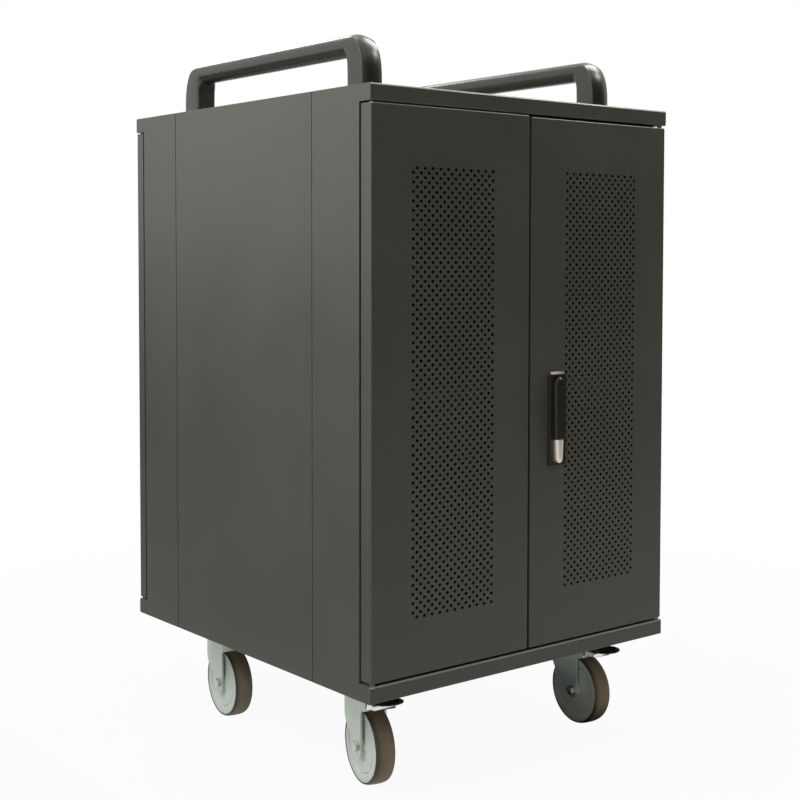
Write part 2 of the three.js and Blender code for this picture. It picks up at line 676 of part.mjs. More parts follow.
// The lever's side view meets its front view; its pocket clears the spindle as the lever lifts.
function lockLever() {
  const y = LEVER_PIVOT_Y;
  const z = LOCK_HEIGHT;
  const sideView = outline([
    [y + LEVER_BACK, z - LEVER_BELOW],
    [y + LEVER_BACK, z],
    [y + 1.5, z + 5.6],
    [y - 2.5, z + LEVER_ABOVE],
    [y - 3.5, z + LEVER_ABOVE],
    [y - LEVER_FRONT, z + 10],
    [y - LEVER_FRONT, z - 62],
    [y - 2, z - LEVER_BELOW],
  ]);
  const half = LEVER_WIDTH / 2;
  const frontView = new THREE.Shape();
  frontView.moveTo(LOCK_X - half + 1, z - LEVER_BELOW);
  frontView.lineTo(LOCK_X + half - 1, z - LEVER_BELOW);
  frontView.lineTo(LOCK_X + half, z + LEVER_ABOVE - half);
  frontView.absarc(LOCK_X, z + LEVER_ABOVE - half, half, 0, Math.PI);
  const body = across(sideView, [LOCK_X - half, LOCK_X + half])
    .intersect(through(frontView, [y - LEVER_FRONT, y + LEVER_BACK]));
  const room = KNUCKLE_LENGTH / 2 + 2 * FIT;
  const depth = [y - KNUCKLE_RADIUS - 2 * FIT, y + LEVER_BACK + 1];
  const pocket = box([LOCK_X - room, LOCK_X + room], depth, [z - room, z + 20]);
  return cut(body, pocket);
}

function keyHousing() {
  const z = LOCK_HEIGHT;
  const shape = outline([
    [LOCK_X - KEY_BOTTOM_WIDTH / 2 + 3, z - KEY_BOTTOM],
    [LOCK_X + KEY_BOTTOM_WIDTH / 2 - 3, z - KEY_BOTTOM],
    [LOCK_X + KEY_BOTTOM_WIDTH / 2, z - KEY_BOTTOM + 3],
    [LOCK_X + KEY_TOP_WIDTH / 2, z - KEY_TOP],
    [LOCK_X - KEY_TOP_WIDTH / 2, z - KEY_TOP],
    [LOCK_X - KEY_BOTTOM_WIDTH / 2, z - KEY_BOTTOM + 3],
  ]);
  const span = [PLATE_FACE - FIT - KEY_DEPTH, PLATE_FACE - FIT];
  const bore = [span[0] - 1, span[1] - 2];
  return cut(through(shape, span), cylinderY(KEY_PLUG_RADIUS + FIT, bore, [LOCK_X, keyHeight()], 16));
}

function keyHeight() {
  return LOCK_HEIGHT - (KEY_TOP + KEY_BOTTOM) / 2;
}

function keyPlug() {
  const face = PLATE_FACE - FIT - KEY_DEPTH - 1;
  const z = keyHeight();
  const plug = cylinderY(KEY_PLUG_RADIUS - FIT, [face, PLATE_FACE - 3 * FIT - 2], [LOCK_X, z], 16);
  return cut(plug, box([LOCK_X - 0.9, LOCK_X + 0.9], [face - 1, face + 2.5], [z - 4, z + 4]));
}

// Flat rod with a yoke whose cross slot is driven by one crank pin.
function lockRod(direction, span, end) {
  const side = direction;
  const z = LOCK_HEIGHT;
  const reach = [-8, CRANK + CRANK_PIN_RADIUS + 5];
  const slotReach = [-4, CRANK + CRANK_PIN_RADIUS + 1];
  const ordered = ([a, b]) => [Math.min(a, b), Math.max(a, b)];
  const place = (pair) => ordered(pair.map((u) => LOCK_X + side * u));
  const slotHalf = CRANK_PIN_RADIUS + YOKE_CLEARANCE;
  const yokeHalf = slotHalf + 4;
  const half = ROD_WIDTH / 2;
  const slot = box(place(slotReach), [span[0] - 1, span[1] + 1], [z - slotHalf, z + slotHalf]);
  const yoke = box(place(reach), span, [z - yokeHalf, z + yokeHalf]);
  const rodZ = ordered([z + direction * slotHalf, end]);
  const rod = box([LOCK_X - half, LOCK_X + half], span, rodZ);
  return cut(join(yoke, rod), slot);
}

// Hand bolt of the left-hand door, with a round finger knob.
function slideBolt(direction, end) {
  const half = BOLT_WIDTH / 2;
  const far = end - direction * BOLT_LENGTH;
  const bar = box([BOLT_X - half, BOLT_X + half], BOLT_Y, [Math.min(end, far), Math.max(end, far)]);
  const knobPlace = [BOLT_X, far + direction * KNOB_INSET];
  const knob = cylinderY(KNOB_RADIUS, [BOLT_Y[0] + 1, DOOR_BACK - 2 * SHEET], knobPlace, 10);
  return join(bar, knob);
}

// Rear lock, drawn in the place of a front door's lock and turned half round with the rear door

function rearBarrel() {
  const profile = [
    [PLUG_RADIUS + 2 * FIT, DOOR_FACE - FIT - BARREL_FLANGE],
    [BARREL_FLANGE_RADIUS, DOOR_FACE - FIT - BARREL_FLANGE],
    [BARREL_FLANGE_RADIUS, DOOR_FACE - FIT],
    [BARREL_RADIUS, DOOR_FACE - FIT],
    [BARREL_RADIUS, DOOR_BACK - 7],
    [PLUG_RADIUS + 2 * FIT, DOOR_BACK - 7],
    [PLUG_RADIUS + 2 * FIT, DOOR_FACE - FIT - BARREL_FLANGE],
  ];
  const lathe = turned(profile, 12).rotateX(-Math.PI / 2);
  return solid(lathe.translate(-REAR_LOCK_X, 0, BASE_BOTTOM + REAR_LOCK_Z));
}

// Key plug of the rear lock with the tongue that turns behind the post's flange.
function rearCam() {
  const z = BASE_BOTTOM + REAR_LOCK_Z;
  const place = [-REAR_LOCK_X, z];
  const face = DOOR_FACE - FIT - BARREL_FLANGE;
  const flangeBack = FRONT + DOOR_POCKET + SHEET;
  const tongueY = [flangeBack + 2.5, flangeBack + 2.5 + TONGUE_THICKNESS];
  const half = TONGUE_WIDTH / 2;
  const tongue = box([place[0] - half, place[0] + half], tongueY, [z - TONGUE_LENGTH, z + half]);
  const body = join(
    cylinderY(PLUG_RADIUS, [face, DOOR_BACK - 5], place, 16),
    cylinderY(PLUG_RADIUS - 2, [DOOR_BACK - 6, tongueY[0] + 1], place, 12),
    tongue,
  );
  return cut(body, box([place[0] - 0.9, place[0] + 0.9], [face - 1, face + 4], [z - 4, z + 4]));
}

// Inside of the cabinet

function partition() {
  const folds = [
    [-SHEET_REACH, PARTITION_Y + PARTITION_FLANGE],
    [-SHEET_REACH, PARTITION_Y],
    [SHEET_REACH, PARTITION_Y],
    [SHEET_REACH, PARTITION_Y + PARTITION_FLANGE],
  ];
  const half = CABLE_SLOT_WIDTH / 2;
  const slots = [SHELF_TOP - SHELF_FLANGE, CAP_BOTTOM].map((ceiling) => {
    const span = [ceiling - CABLE_SLOT_DROP - CABLE_SLOT_HEIGHT, ceiling - CABLE_SLOT_DROP];
    const shape = roundedRectangle([-half, half], span, CABLE_SLOT_HEIGHT / 2 - 0.1);
    return through(shape, [PARTITION_Y - 2 * SHEET, PARTITION_Y + 2 * SHEET]);
  });
  return cut(upright(foldedSheet(folds), [FRAME_BOTTOM, FRAME_TOP]), ...slots);
}

// Tray with all four edges folded down, fixed to the seam flanges of the sides.
function midShelf() {
  const half = SIDE - SEAM_FLANGE - FIT;
  const depth = [FRONT + DOOR_POCKET + POST_LIP + 2, PARTITION_Y - FIT];
  const sunk = box(
    [-half + SHEET, half - SHEET],
    [depth[0] + SHEET, depth[1] - SHEET],
    [SHELF_TOP - SHELF_FLANGE - 1, SHELF_TOP - SHEET],
  );
  return cut(box([-half, half], depth, [SHELF_TOP - SHELF_FLANGE, SHELF_TOP]), sunk);
}

// Moulded rack: a floor with upright fins that slope up from the front, a laptop between each pair.
function dividerRack(floor) {
  const half = RACK_WIDTH / 2;
  const base = box([-half, half], [RACK_FRONT, RACK_BACK], [floor, floor + RACK_FLOOR]);
  const fin = outline([
    [RACK_FRONT, floor],
    [RACK_BACK, floor],
    [RACK_BACK, floor + FIN_HEIGHT],
    [RACK_FRONT + FIN_FRONT_SLOPE + 14, floor + FIN_HEIGHT],
    [RACK_FRONT + FIN_FRONT_SLOPE, floor + FIN_HEIGHT - 8],
    [RACK_FRONT, floor + FIN_FRONT_HEIGHT],
  ]);
  const pitch = (RACK_WIDTH - FIN) / RACK_SLOTS;
  const fins = [];
  for (let i = 0; i <= RACK_SLOTS; i += 1) {
    const x = -half + i * pitch;
    fins.push(across(fin, [x, x + FIN]));
  }
  return join(base, ...fins);
}

// Socket strip screwed to the rear of the partition, with shallow seats for shuttered outlets.
function powerStrip(z) {
  const y0 = PARTITION_Y + SHEET + FIT;
  const y1 = y0 + STRIP_DEPTH;
  const half = STRIP_HEIGHT / 2;
  const section = outline([
    [y0, z - half],
    [y1 - STRIP_CHAMFER, z - half],
    [y1, z - half + STRIP_CHAMFER],
    [y1, z + half - STRIP_CHAMFER],
    [y1 - STRIP_CHAMFER, z + half],
    [y0, z + half],
  ]);
  const pitch = STRIP_LENGTH / STRIP_OUTLETS;
  const seats = [];
  for (let i = 0; i < STRIP_OUTLETS; i += 1) {
    const x = -STRIP_LENGTH / 2 + (i + 0.5) * pitch;
    const width = [x - OUTLET_WIDTH / 2, x + OUTLET_WIDTH / 2];
    const height = [z - OUTLET_HEIGHT / 2, z + OUTLET_HEIGHT / 2];
    seats.push(box(width, [y1 - OUTLET_DEPTH, y1 + 1], height));
  }
  return cut(across(section, [-STRIP_LENGTH / 2, STRIP_LENGTH / 2]), ...seats);
}

// Appliance inlet in the rear right post: flange outside, body inside, and three blades in the well.
function powerInlet() {
  const z = BASE_BOTTOM + INLET_Z;
  const y = INLET_Y;
  const face = SIDE + INLET_PROUD;
  const wellFloor = face - INLET_WELL_DEPTH;
  const span = (half, centre) => [centre - half, centre + half];
  const rim = roundedRectangle(span(INLET_FLANGE[0], y), span(INLET_FLANGE[1], z), INLET_FLANGE_CORNER);
  const bodyX = [wellFloor - INLET_FLOOR, SIDE + 1];
  const body = box(bodyX, span(INLET_BODY[0], y), span(INLET_BODY[1], z));
  const [wide, tall] = INLET_WELL;
  const well = across(outline([
    [y - wide, z - tall],
    [y + wide - INLET_WELL_CHAMFER, z - tall],
    [y + wide, z - tall + INLET_WELL_CHAMFER],
    [y + wide, z + tall - INLET_WELL_CHAMFER],
    [y + wide - INLET_WELL_CHAMFER, z + tall],
    [y - wide, z + tall],
  ]), [wellFloor, face + 1]);
  const blades = [-BLADE_PITCH, 0, BLADE_PITCH].map((dz) => {
    return box([wellFloor - 1, wellFloor + BLADE_LENGTH], span(2, y), span(1, z + dz));
  });
  return join(cut(join(across(rim, [SIDE + FIT, face]), body), well), ...blades);
}

function inletCutout() {
  const z = BASE_BOTTOM + INLET_Z;
  const [wide, tall] = INLET_BODY.map((half) => half + 0.5);
  return box([SIDE - 3 * SHEET, SIDE + SHEET], [INLET_Y - wide, INLET_Y + wide], [z - tall, z + tall]);
}

// Bow handles

// Path of a bow handle in the plane x = 0. It has a station at each foot and all along each bend, and
// the sweep uses just those.
class BowPath extends THREE.Curve {
  constructor() {
    super();
    const top = HANDLE_HEIGHT - HANDLE_DEPTH / 2;
    const reach = HANDLE_LENGTH / 2 - HANDLE_DEPTH / 2;
    const quarter = (end) => Array.from({ length: BEND_STEPS + 1 }, (_, i) => {
      const turn = (Math.PI / 2) * (i / BEND_STEPS);
      const angle = end < 0 ? Math.PI - turn : Math.PI / 2 - turn;
      const y = end * (reach - HANDLE_BEND) + HANDLE_BEND * Math.cos(angle);
      const z = top - HANDLE_BEND + HANDLE_BEND * Math.sin(angle);
      const heading = new THREE.Vector3(0, Math.sin(angle), -Math.cos(angle));
      return { point: new THREE.Vector3(0, y, z), heading };
    });
    this.stations = [
      { point: new THREE.Vector3(0, -reach, FIT), heading: new THREE.Vector3(0, 0, 1) },
      ...quarter(-1),
      ...quarter(1),
      { point: new THREE.Vector3(0, reach, FIT), heading: new THREE.Vector3(0, 0, -1) },
    ];
    this.steps = this.stations.length - 1;
  }

  getPointAt(u) {
    return this.stations[Math.round(u * this.steps)].point.clone();
  }

  getTangentAt(u) {
    return this.stations[Math.round(u * this.steps)].heading.clone();
  }
}

// Tube section: a slightly crowned outer face with crisp edges, straight sides and rounded inner edges.
function handleSection() {
  const half = HANDLE_WIDTH / 2;
  const edge = HANDLE_DEPTH / 2 - HANDLE_CROWN;
  const inner = -HANDLE_DEPTH / 2;
  const shape = new THREE.Shape();
  shape.moveTo(edge, -half);
  shape.quadraticCurveTo(edge + 2 * HANDLE_CROWN, 0, edge, half);
  shape.lineTo(inner + HANDLE_ROUND, half);
  shape.absarc(inner + HANDLE_ROUND, half - HANDLE_ROUND, HANDLE_ROUND, Math.PI / 2, Math.PI);
  shape.lineTo(inner, -half + HANDLE_ROUND);
  shape.absarc(inner + HANDLE_ROUND, -half + HANDLE_ROUND, HANDLE_ROUND, Math.PI, Math.PI * 1.5);
  return shape;
}

function bowHandle() {
  const path = new BowPath();
  const settings = { steps: path.steps, extrudePath: path, bevelEnabled: false, curveSegments: 2 };
  return solid(new THREE.ExtrudeGeometry(handleSection(), settings));
}

// Casters, drawn with the swivel axis at x = y = 0 and the wheel trailing towards -y

function wheelProfile(points) {
  const facing = 1 / Math.cos(Math.PI / WHEEL_FACETS);
  const closed = [...points, points[0]].map(([radius, along]) => [radius * facing, along]);
  const lathe = turned(closed, WHEEL_FACETS);
  return solid(lathe.rotateY(Math.PI / 2).translate(0, -CASTER_TRAIL, WHEEL_RADIUS));
}

function tyre() {
  const half = TYRE_WIDTH / 2;
  const inner = CORE_RADIUS + FIT;
  return wheelProfile([
    [inner, -half],
    [WHEEL_RADIUS - 2, -half],
    [WHEEL_RADIUS, -half + TYRE_SHOULDER],
    [WHEEL_RADIUS, half - TYRE_SHOULDER],
    [WHEEL_RADIUS - 2, half],
    [inner, half],
  ]);
}

function wheelCore() {
  const face = TYRE_WIDTH / 2 - 0.2;
  const dish = face - CORE_DISH;
  const hub = HUB_WIDTH / 2;
  return wheelProfile([
    [AXLE_HOLE_RADIUS, -hub],
    [HUB_RADIUS, -hub],
    [HUB_RADIUS, -dish],
    [CORE_STEP_RADIUS - 1, -dish],
    [CORE_STEP_RADIUS + 1, -face],
    [CORE_RADIUS, -face],
    [CORE_RADIUS, face],
    [CORE_STEP_RADIUS + 1, face],
    [CORE_STEP_RADIUS - 1, dish],
    [HUB_RADIUS, dish],
    [HUB_RADIUS, hub],
    [AXLE_HOLE_RADIUS, hub],
  ]);
}

function axleBolt() {
  const place = [-CASTER_TRAIL, WHEEL_RADIUS];
  const forkFace = FORK_GAP / 2 + FORK_SHEET + FIT;
  const end = forkFace + NUT_HEIGHT;
  return join(
    cylinderX(AXLE_RADIUS, [-forkFace - 1, forkFace + 1], place, 10),
    cylinderX(NUT_RADIUS, [-end, -forkFace], place, 6),
    cylinderX(NUT_RADIUS, [forkFace, end], place, 6),
  );
}

// Pressed fork: two flat cheeks down to the axle, drawn together behind the kingpin into a round skirt
// that rises to the rear, and closed over the wheel by the crown and a web at the front.
function fork(braked) {
  const outer = FORK_GAP / 2 + FORK_SHEET;
  const inner = FORK_GAP / 2;
  const axle = [-CASTER_TRAIL, WHEEL_RADIUS];
  const ears = braked ? [[-56, 147], [-71, 142], [-71, 128]] : [[-56, 138]];
  const sideView = outline([
    [-53, 54],
    [-46, 48],
    [-34, 49],
    [-28, 60],
    [-15, 76],
    [5, 88],
    [17, 97],
    [24, 110],
    [26, 126],
    [FORK_REAR, 134],
    [FORK_REAR, CROWN_TOP],
    [-40, CROWN_TOP],
    ...ears,
    [-56, 122],
    [-53, 120],
  ]);
  const wheelRoom = outline([
    [-90, 30],
    [60, 30],
    [60, CROWN_TOP - FORK_SHEET],
    [-38, CROWN_TOP - FORK_SHEET],
    [-52, 134],
    [-52, 126],
    [-90, 126],
  ]);
  const plan = (half, rear) => outline([
    [-half, -90],
    [half, -90],
    [half, -12],
    [half - 2.2, rear - 9],
    [half - 11, rear],
    [-half + 11, rear],
    [-half + 2.2, rear - 9],
    [-half, -12],
  ]);
  const height = [0, CROWN_TOP];
  const roomPlan = upright(plan(inner, FORK_REAR - FORK_SHEET), height);
  const room = across(wheelRoom, [-inner, inner]).intersect(roomPlan);
  const shell = across(sideView, [-outer, outer]).intersect(upright(plan(outer, FORK_REAR), height));
  const race = cylinderZ(RACE_RADIUS - 2, [CROWN_TOP - 1, RACE_SPLIT - 2 * FIT], [0, 0], 12);
  const bores = [
    cylinderX(AXLE_HOLE_RADIUS, [-outer - 1, outer + 1], axle, 10),
    cylinderZ(KINGPIN_RADIUS + 0.6, [CROWN_TOP - 15, CASTER_HEIGHT], [0, 0], 8),
  ];
  if (braked) bores.push(pedalRoom(inner), cylinderX(3, [-outer - 1, outer + 1], PEDAL_PIVOT, 8));
  return cut(join(cut(shell, room), race), ...bores);
}

// Space between the ears of a braked fork, in front of the web.
function pedalRoom(half) {
  const shape = outline([
    [-56.5, CROWN_TOP + 1],
    [-90, CROWN_TOP + 1],
    [-90, 100],
    [-56.5, 100],
  ]);
  return across(shape, [-half, half]);
}

// Fixed half of the swivel: bolting plate, upper race and the riveted kingpin.
function casterPlate() {
  const [length, width, thickness] = TOP_PLATE;
  const top = CASTER_HEIGHT - FIT;
  const shape = roundedRectangle([-width / 2, width / 2], [-length / 2, length / 2], 8);
  const head = CROWN_TOP - FORK_SHEET - FIT;
  const pin = turned([
    [0, head - 5],
    [KINGPIN_HEAD_RADIUS, head - 5],
    [KINGPIN_HEAD_RADIUS, head],
    [KINGPIN_RADIUS, head],
    [KINGPIN_RADIUS, RACE_SPLIT],
    [RACE_RADIUS, RACE_SPLIT],
    [RACE_RADIUS - 3, top - thickness / 2],
    [0, top - thickness / 2],
  ], 12);
  return join(upright(shape, [top - thickness, top]), solid(pin));
}

// Rocking brake pedal: hub between the fork's cheeks, a sprung metal tab and the foot pad above it.
function brakePedal() {
  const [pivotY, pivotZ] = PEDAL_PIVOT;
  const [padWidth, padLength, padThickness] = PEDAL_PAD;
  const [padY, padZ] = PEDAL_PAD_CENTRE;
  const hubHalf = FORK_GAP / 2 - 1;
  const padShape = roundedRectangle([-padWidth / 2, padWidth / 2], [-padLength / 2, padLength / 2], 15);
  const pad = extrusion(padShape, padThickness).translate(0, 0, -padThickness / 2);
  pad.rotateX(-THREE.MathUtils.degToRad(PEDAL_TILT)).translate(0, padY, padZ);
  const arm = outline([
    [pivotY + 2, pivotZ + 4],
    [pivotY - 3, pivotZ - 1],
    [padY + 5, padZ - 3],
    [padY + 5, padZ + 1],
  ]);
  const tab = outline([
    [pivotY, pivotZ - 4],
    [padY - 10, padZ - 7.5],
    [padY - 10, padZ - 5.5],
    [pivotY, pivotZ],
  ]);
  return join(
    cylinderX(4.5, [-hubHalf, hubHalf], PEDAL_PIVOT, 10),
    cylinderX(2.4, [-hubHalf - 3, hubHalf + 3], PEDAL_PIVOT, 8),
    across(arm, [-12, 12]),
    across(tab, [-10, 10]),
    solid(pad),
  );
}

function caster({ name, x, y, turn, braked }) {
  const place = new THREE.Group();
  const swivel = new THREE.Group();
  place.position.set(x * CASTER_X, y * CASTER_Y, 0);
  swivel.rotation.z = THREE.MathUtils.degToRad(turn);
  place.add(piece(`${name}_caster_plate`, casterPlate(), zinc), swivel);
  swivel.add(
    piece(`${name}_fork`, fork(braked), zinc),
    piece(`${name}_axle`, axleBolt(), steel),
    piece(`${name}_wheel_core`, wheelCore(), corePlastic),
    piece(`${name}_tyre`, tyre(), rubber),
  );
  if (braked) swivel.add(piece(`${name}_brake_pedal`, brakePedal(), blackPlastic));
  return place;
}

// The whole cart, centred on its own bounds

const cart = new THREE.Group();
cart.position.y = CENTRE_SHIFT;
const rearSide = new THREE.Group();
rearSide.rotation.z = Math.PI;
rearSide.add(
  piece('rear_door', rearDoor(), paint),
  piece('rear_lock_barrel', rearBarrel(), steel),
  piece('rear_lock_cam', rearCam(), steel),
);
const handles = [['left', -1], ['right', 1]].map(([name, side]) => {
  const mesh = piece(`${name}_handle`, bowHandle(), paint);
  mesh.position.set(side * HANDLE_X, 0, CAP_TOP);
  return mesh;
});

cart.add(
  piece('top_cap', topCap(), paint),
  piece('base_tray', baseTray(), paint),
  piece('front_left_post', post(-1, -1), paint),
  piece('front_right_post', post(1, -1), paint),
  piece('rear_left_post', post(-1, 1), paint),
  piece('rear_right_post', cut(post(1, 1), inletCutout()), paint),
  piece('left_side_panel', sidePanel(-1), paint),
  piece('right_side_panel', sidePanel(1), paint),
  piece('partition', partition(), paint),
  piece('mid_shelf', midShelf(), paint),
  piece('lower_rack', dividerRack(BASE_TOP + FIT), rackPlastic),
  piece('upper_rack', dividerRack(SHELF_TOP + FIT), rackPlastic),
  piece('lower_power_strip', powerStrip(BASE_BOTTOM + STRIP_HEIGHTS[0]), blackPlastic),
  piece('upper_power_strip', powerStrip(BASE_BOTTOM + STRIP_HEIGHTS[1]), blackPlastic),
  piece('power_inlet', powerInlet(), blackPlastic),
  ...handles,
  piece('left_door', leftDoor(), paint),
  piece('left_door_upper_bolt', slideBolt(1, LEFT_DOOR_TOP - 1), steel),
  piece('left_door_lower_bolt', slideBolt(-1, DOOR_BOTTOM + 1), steel),
  piece('right_door', rightDoor(), paint),
  piece('lock_plate', lockPlate(), blackPlastic),
  piece('lock_spindle', lockSpindle(), steel),
  piece('lock_lever', lockLever(), blackPlastic),
  piece('key_housing', keyHousing(), steel),
  piece('key_plug', keyPlug(), steel),
  piece('upper_lock_rod', lockRod(1, UPPER_ROD_Y, RIGHT_DOOR_TOP - 0.5), steel),
  piece('lower_lock_rod', lockRod(-1, LOWER_ROD_Y, DOOR_BOTTOM + 0.5), steel),
  ...pinPair('left_door', -PIVOT_X, PIVOT_Y, LEFT_DOOR_TOP),
  ...pinPair('right_door', PIVOT_X, PIVOT_Y, RIGHT_DOOR_TOP),
  ...pinPair('rear_door', -PIVOT_X, -PIVOT_Y, REAR_DOOR_TOP),
  rearSide,
  ...CASTERS.map(caster),
);

const part = new THREE.Group();
part.add(cart);
export default part;
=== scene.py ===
import math

import bmesh
import bpy
from mathutils import Matrix, Vector


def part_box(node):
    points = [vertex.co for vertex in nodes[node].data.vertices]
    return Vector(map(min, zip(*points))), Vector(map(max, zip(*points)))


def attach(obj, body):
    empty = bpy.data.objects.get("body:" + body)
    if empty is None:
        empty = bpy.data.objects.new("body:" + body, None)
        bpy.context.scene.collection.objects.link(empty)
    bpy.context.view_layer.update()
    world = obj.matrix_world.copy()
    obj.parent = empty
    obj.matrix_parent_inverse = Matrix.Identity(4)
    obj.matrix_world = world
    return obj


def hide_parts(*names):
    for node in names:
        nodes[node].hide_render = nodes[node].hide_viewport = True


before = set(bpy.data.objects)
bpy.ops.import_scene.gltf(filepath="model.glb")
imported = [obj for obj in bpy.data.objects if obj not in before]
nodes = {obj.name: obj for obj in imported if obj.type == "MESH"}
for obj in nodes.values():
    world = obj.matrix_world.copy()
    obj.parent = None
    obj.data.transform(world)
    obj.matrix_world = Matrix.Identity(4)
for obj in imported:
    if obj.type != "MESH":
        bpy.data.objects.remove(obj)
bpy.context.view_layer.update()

# Sizes are in millimetres, those of the camera's place and the studio in metres. Angles are in degrees.
MM = 0.001
SHEET = 1.5
WELD_GAP = 0.001
CAD_WELD_GAP = 0.005
CAD_FLAT_ANGLE = 0.5

# Front doors
FOLD_RADIUS = 2.2
FOLD_STEPS = 4
DOOR_CORNER = 3.0
CORNER_STEPS = 3
CORNER_LEAST = 0.6
DOOR_LIP = 12
PUNCH_RADII = (3.1, 2.65)
PUNCH_SIDES = 12
PUNCH_STEP_X = 7.8
PUNCH_STEP_Z = 7.2
PUNCH_ROWS = 97
PUNCHES_PER_ROW = 11
LEFT_FIELD = (-246.8, 289.0)
RIGHT_FIELD = (84.5, 292.4)
PIVOT_X = 322
PIVOT_DEPTH = 7.5
PIN_BORE = 4.6
BUSH_RADIUS = 6.2
BUSH_LENGTH = 10
BUSH_STEPS = 24
BORE_SIDES = 20
STRAP_FOOT = 9
STRAP_THICKNESS = 1.5
STRAP_HALF_HEIGHT = 6
SLOT_CORNER = 0.8

# Lock
LOCK_X = 58.5
LOCK_Z = 632
SPINDLE_BORE = 6.5
LEVER_HALF = 11.2
LEVER_SHOULDER = 634.8
LEVER_FOOT = 543.6
LEVER_FOOT_TAPER = 1.2
LEVER_PIVOT_DEPTH = 5
# Height above the pivot and depth of the back behind it
LEVER_BACK = [(0, 4.5), (5.6, 1.5), (14, -2.5)]
# Depth from the pivot (none for the back), inset of the outline and drop of its round end
LEVER_RINGS = [(-4.9, 1.5, 1.7), (-2.6, 0.1, 0.1), (None, 0, 0)]
PLATE_EXTRA = 6.5
PLATE_LIFT = 2.5
PLATE_CORNER = 4
# Depth from the face, inset of the sides and foot, and drop of the top edge
PLATE_BEVEL = [(0, 1.2, 4.6), (0.4, 0.5, 4.0), (3.0, 0.1, 0.5)]
KEY_X = 59.5
KEY_TOP = 541.8
KEY_BOTTOM = 503.0
KEY_HALVES = (9.2, 7.2)
KEY_ROWS = 12
KEY_ROUND = 6
KEY_ROUND_REACH = 6.3
KEY_END_LEAST = 0.12
KEY_EDGE = 6.0
KEY_EDGE_SHARE = 0.8
KEY_FACE_BACK = 0.6
KEY_TOP_SHARE = 0.9
KEY_END_FALL = 0.2
ROD_SLOT = (7.5, 3.0)
# Depth behind the door's face at the lower and the upper end
ROD_DEPTHS = (12.25, 8.75)
# Distance from the door's ends, and reach at the lower and the upper end
ROD_STRAPS = (150, 14.5, 11.0)
BOLT_X = -30
BOLT_SLOT = (6.5, 4.5)
BOLT_DEPTHS = (9.5, 9.5)
BOLT_STRAPS = (60, 12.5, 12.5)
BAR_TRAVEL = 14
CUP_GAP = 2.8
CUP_WALL = 1.4
CUP_FLOOR = 1.5
CUP_CLEARANCE = 2

# Bow handles
HANDLE_X = 257
HANDLE_HALF_LENGTH = 273
HANDLE_HEIGHT = 93
HANDLE_HALF_WIDTH = 19.5
HANDLE_GAP = 0.3
SHOULDER_LENGTH = 45
SHOULDER_HEIGHT = 73
SHOULDER_PULL = (0.31, 0.41)
INNER_BEND = 14
BEND_STEPS = 20
LEG_DEPTH = 45
BAR_DEPTH = 34.5
# Crown, radius of the outer edges and radius of the inner edges
LEG_SECTION = (3.0, 0.8, 5.0)
BAR_SECTION = (2.0, 12.0, 18.5)
SECTION_CHANGE = 0.6
CROWN_STEPS = 8
CROWN_EDGE_ANGLE = 72
OUTER_EDGE_STEPS = 8
INNER_EDGE_STEPS = 12

# Casters
CASTER_X = 240
CASTER_Y = 215
CASTER_TRAIL = 38
WHEEL_RADIUS = 62.5
TYRE_HALF = 16.9
TYRE_SOFTNESS = 0.8
TYRE_ANGLES = (4, 9, 14, 20, 26, 33, 40, 47, 54, 61, 68, 75, 81, 86)
CORE_RADIUS = 58.6
CORE_FACE = 16.2
DISH_DEPTH = 1.2
GROOVE_DEPTH = 1.6
HUB_FACE = 18.5
TURNED_STEPS = 96
FORK_HALF = 23.25
FORK_SHEET = 3.5
FORK_FOLD = -13
# Plan of the flank from the fold to the middle of the skirt
FLANK = [(FORK_HALF, FORK_FOLD), (22.6, -2), (21.2, 9), (19.0, 18), (16.0, 25.5), (11.5, 30.8), (6, 33.3),
         (0, 34)]
FLANK_LENGTH = sum(math.dist(a, b) for a, b in zip(FLANK, FLANK[1:]))
SKIRT_FOOT = 77
CROWN_TOP = 150
CROWN_INSET = (1, 0.8)
RACE_TOP = 156.4
RACE_STEPS = 40
PEDAL_PIVOT = (-66, 136)
# Bore, radius, half length and steps
PEDAL_HUB = (0.01, 4.5, 18.5, 24)
PAD_CENTRE = (-106, 150)
PAD_HALF = (25, 20)
PAD_TILT = -2
PAD_SIDES = 40
PAD_BLUNTNESS = 0.85
# Height and inset of the foot pad's outline, from its underside over the rim to the tread
PAD_RINGS = [(-1.5, 2.2), (-1.0, 0.7), (-0.2, 0.0), (0.7, 0.0), (1.4, 0.7), (1.6, 1.8), (1.4, 3.2),
             (1.0, 4.2)]
# Place and half length of the pad's grip ribs
PAD_RIBS = [(-12, 10), (-6, 15), (0, 17), (6, 15), (12, 10)]
RIB_HALF = 1.1
RIB_ROUND = 1.0
# Name, side in x, side in y, turn, whether it has a brake, and how far its pedal is pressed
CASTERS = [
    ("front_left", -1, -1, -12.4, True, 0),
    ("front_right", 1, -1, -5.5, True, 4),
    ("rear_left", -1, 1, -6.0, False, 0),
    ("rear_right", 1, 1, -9.0, False, 0),
]


def corners(node):
    """Lowest and highest corner of a CAD node in millimetres."""
    low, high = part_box(node)
    return low / MM, high / MM


CENTRE_Y = (corners("top_cap")[0].y + corners("top_cap")[1].y) / 2
CAP_TOP = corners("top_cap")[1].z


# Finishes

def linear(colour):
    """Linear RGBA of an sRGB hex value."""
    parts = [int(colour[i:i + 2], 16) / 255 for i in (0, 2, 4)]
    return [p / 12.92 if p <= 0.04045 else ((p + 0.055) / 1.055) ** 2.4 for p in parts] + [1.0]


def add_node(tree, kind, inputs, **settings):
    """Adds a node with its settings; each input is a value or the output that feeds it."""
    node = tree.nodes.new(kind)
    for name, value in settings.items():
        setattr(node, name, value)
    for name, value in inputs.items():
        if isinstance(value, bpy.types.NodeSocket):
            tree.links.new(value, node.inputs[name])
        else:
            node.inputs[name].default_value = value
    return node


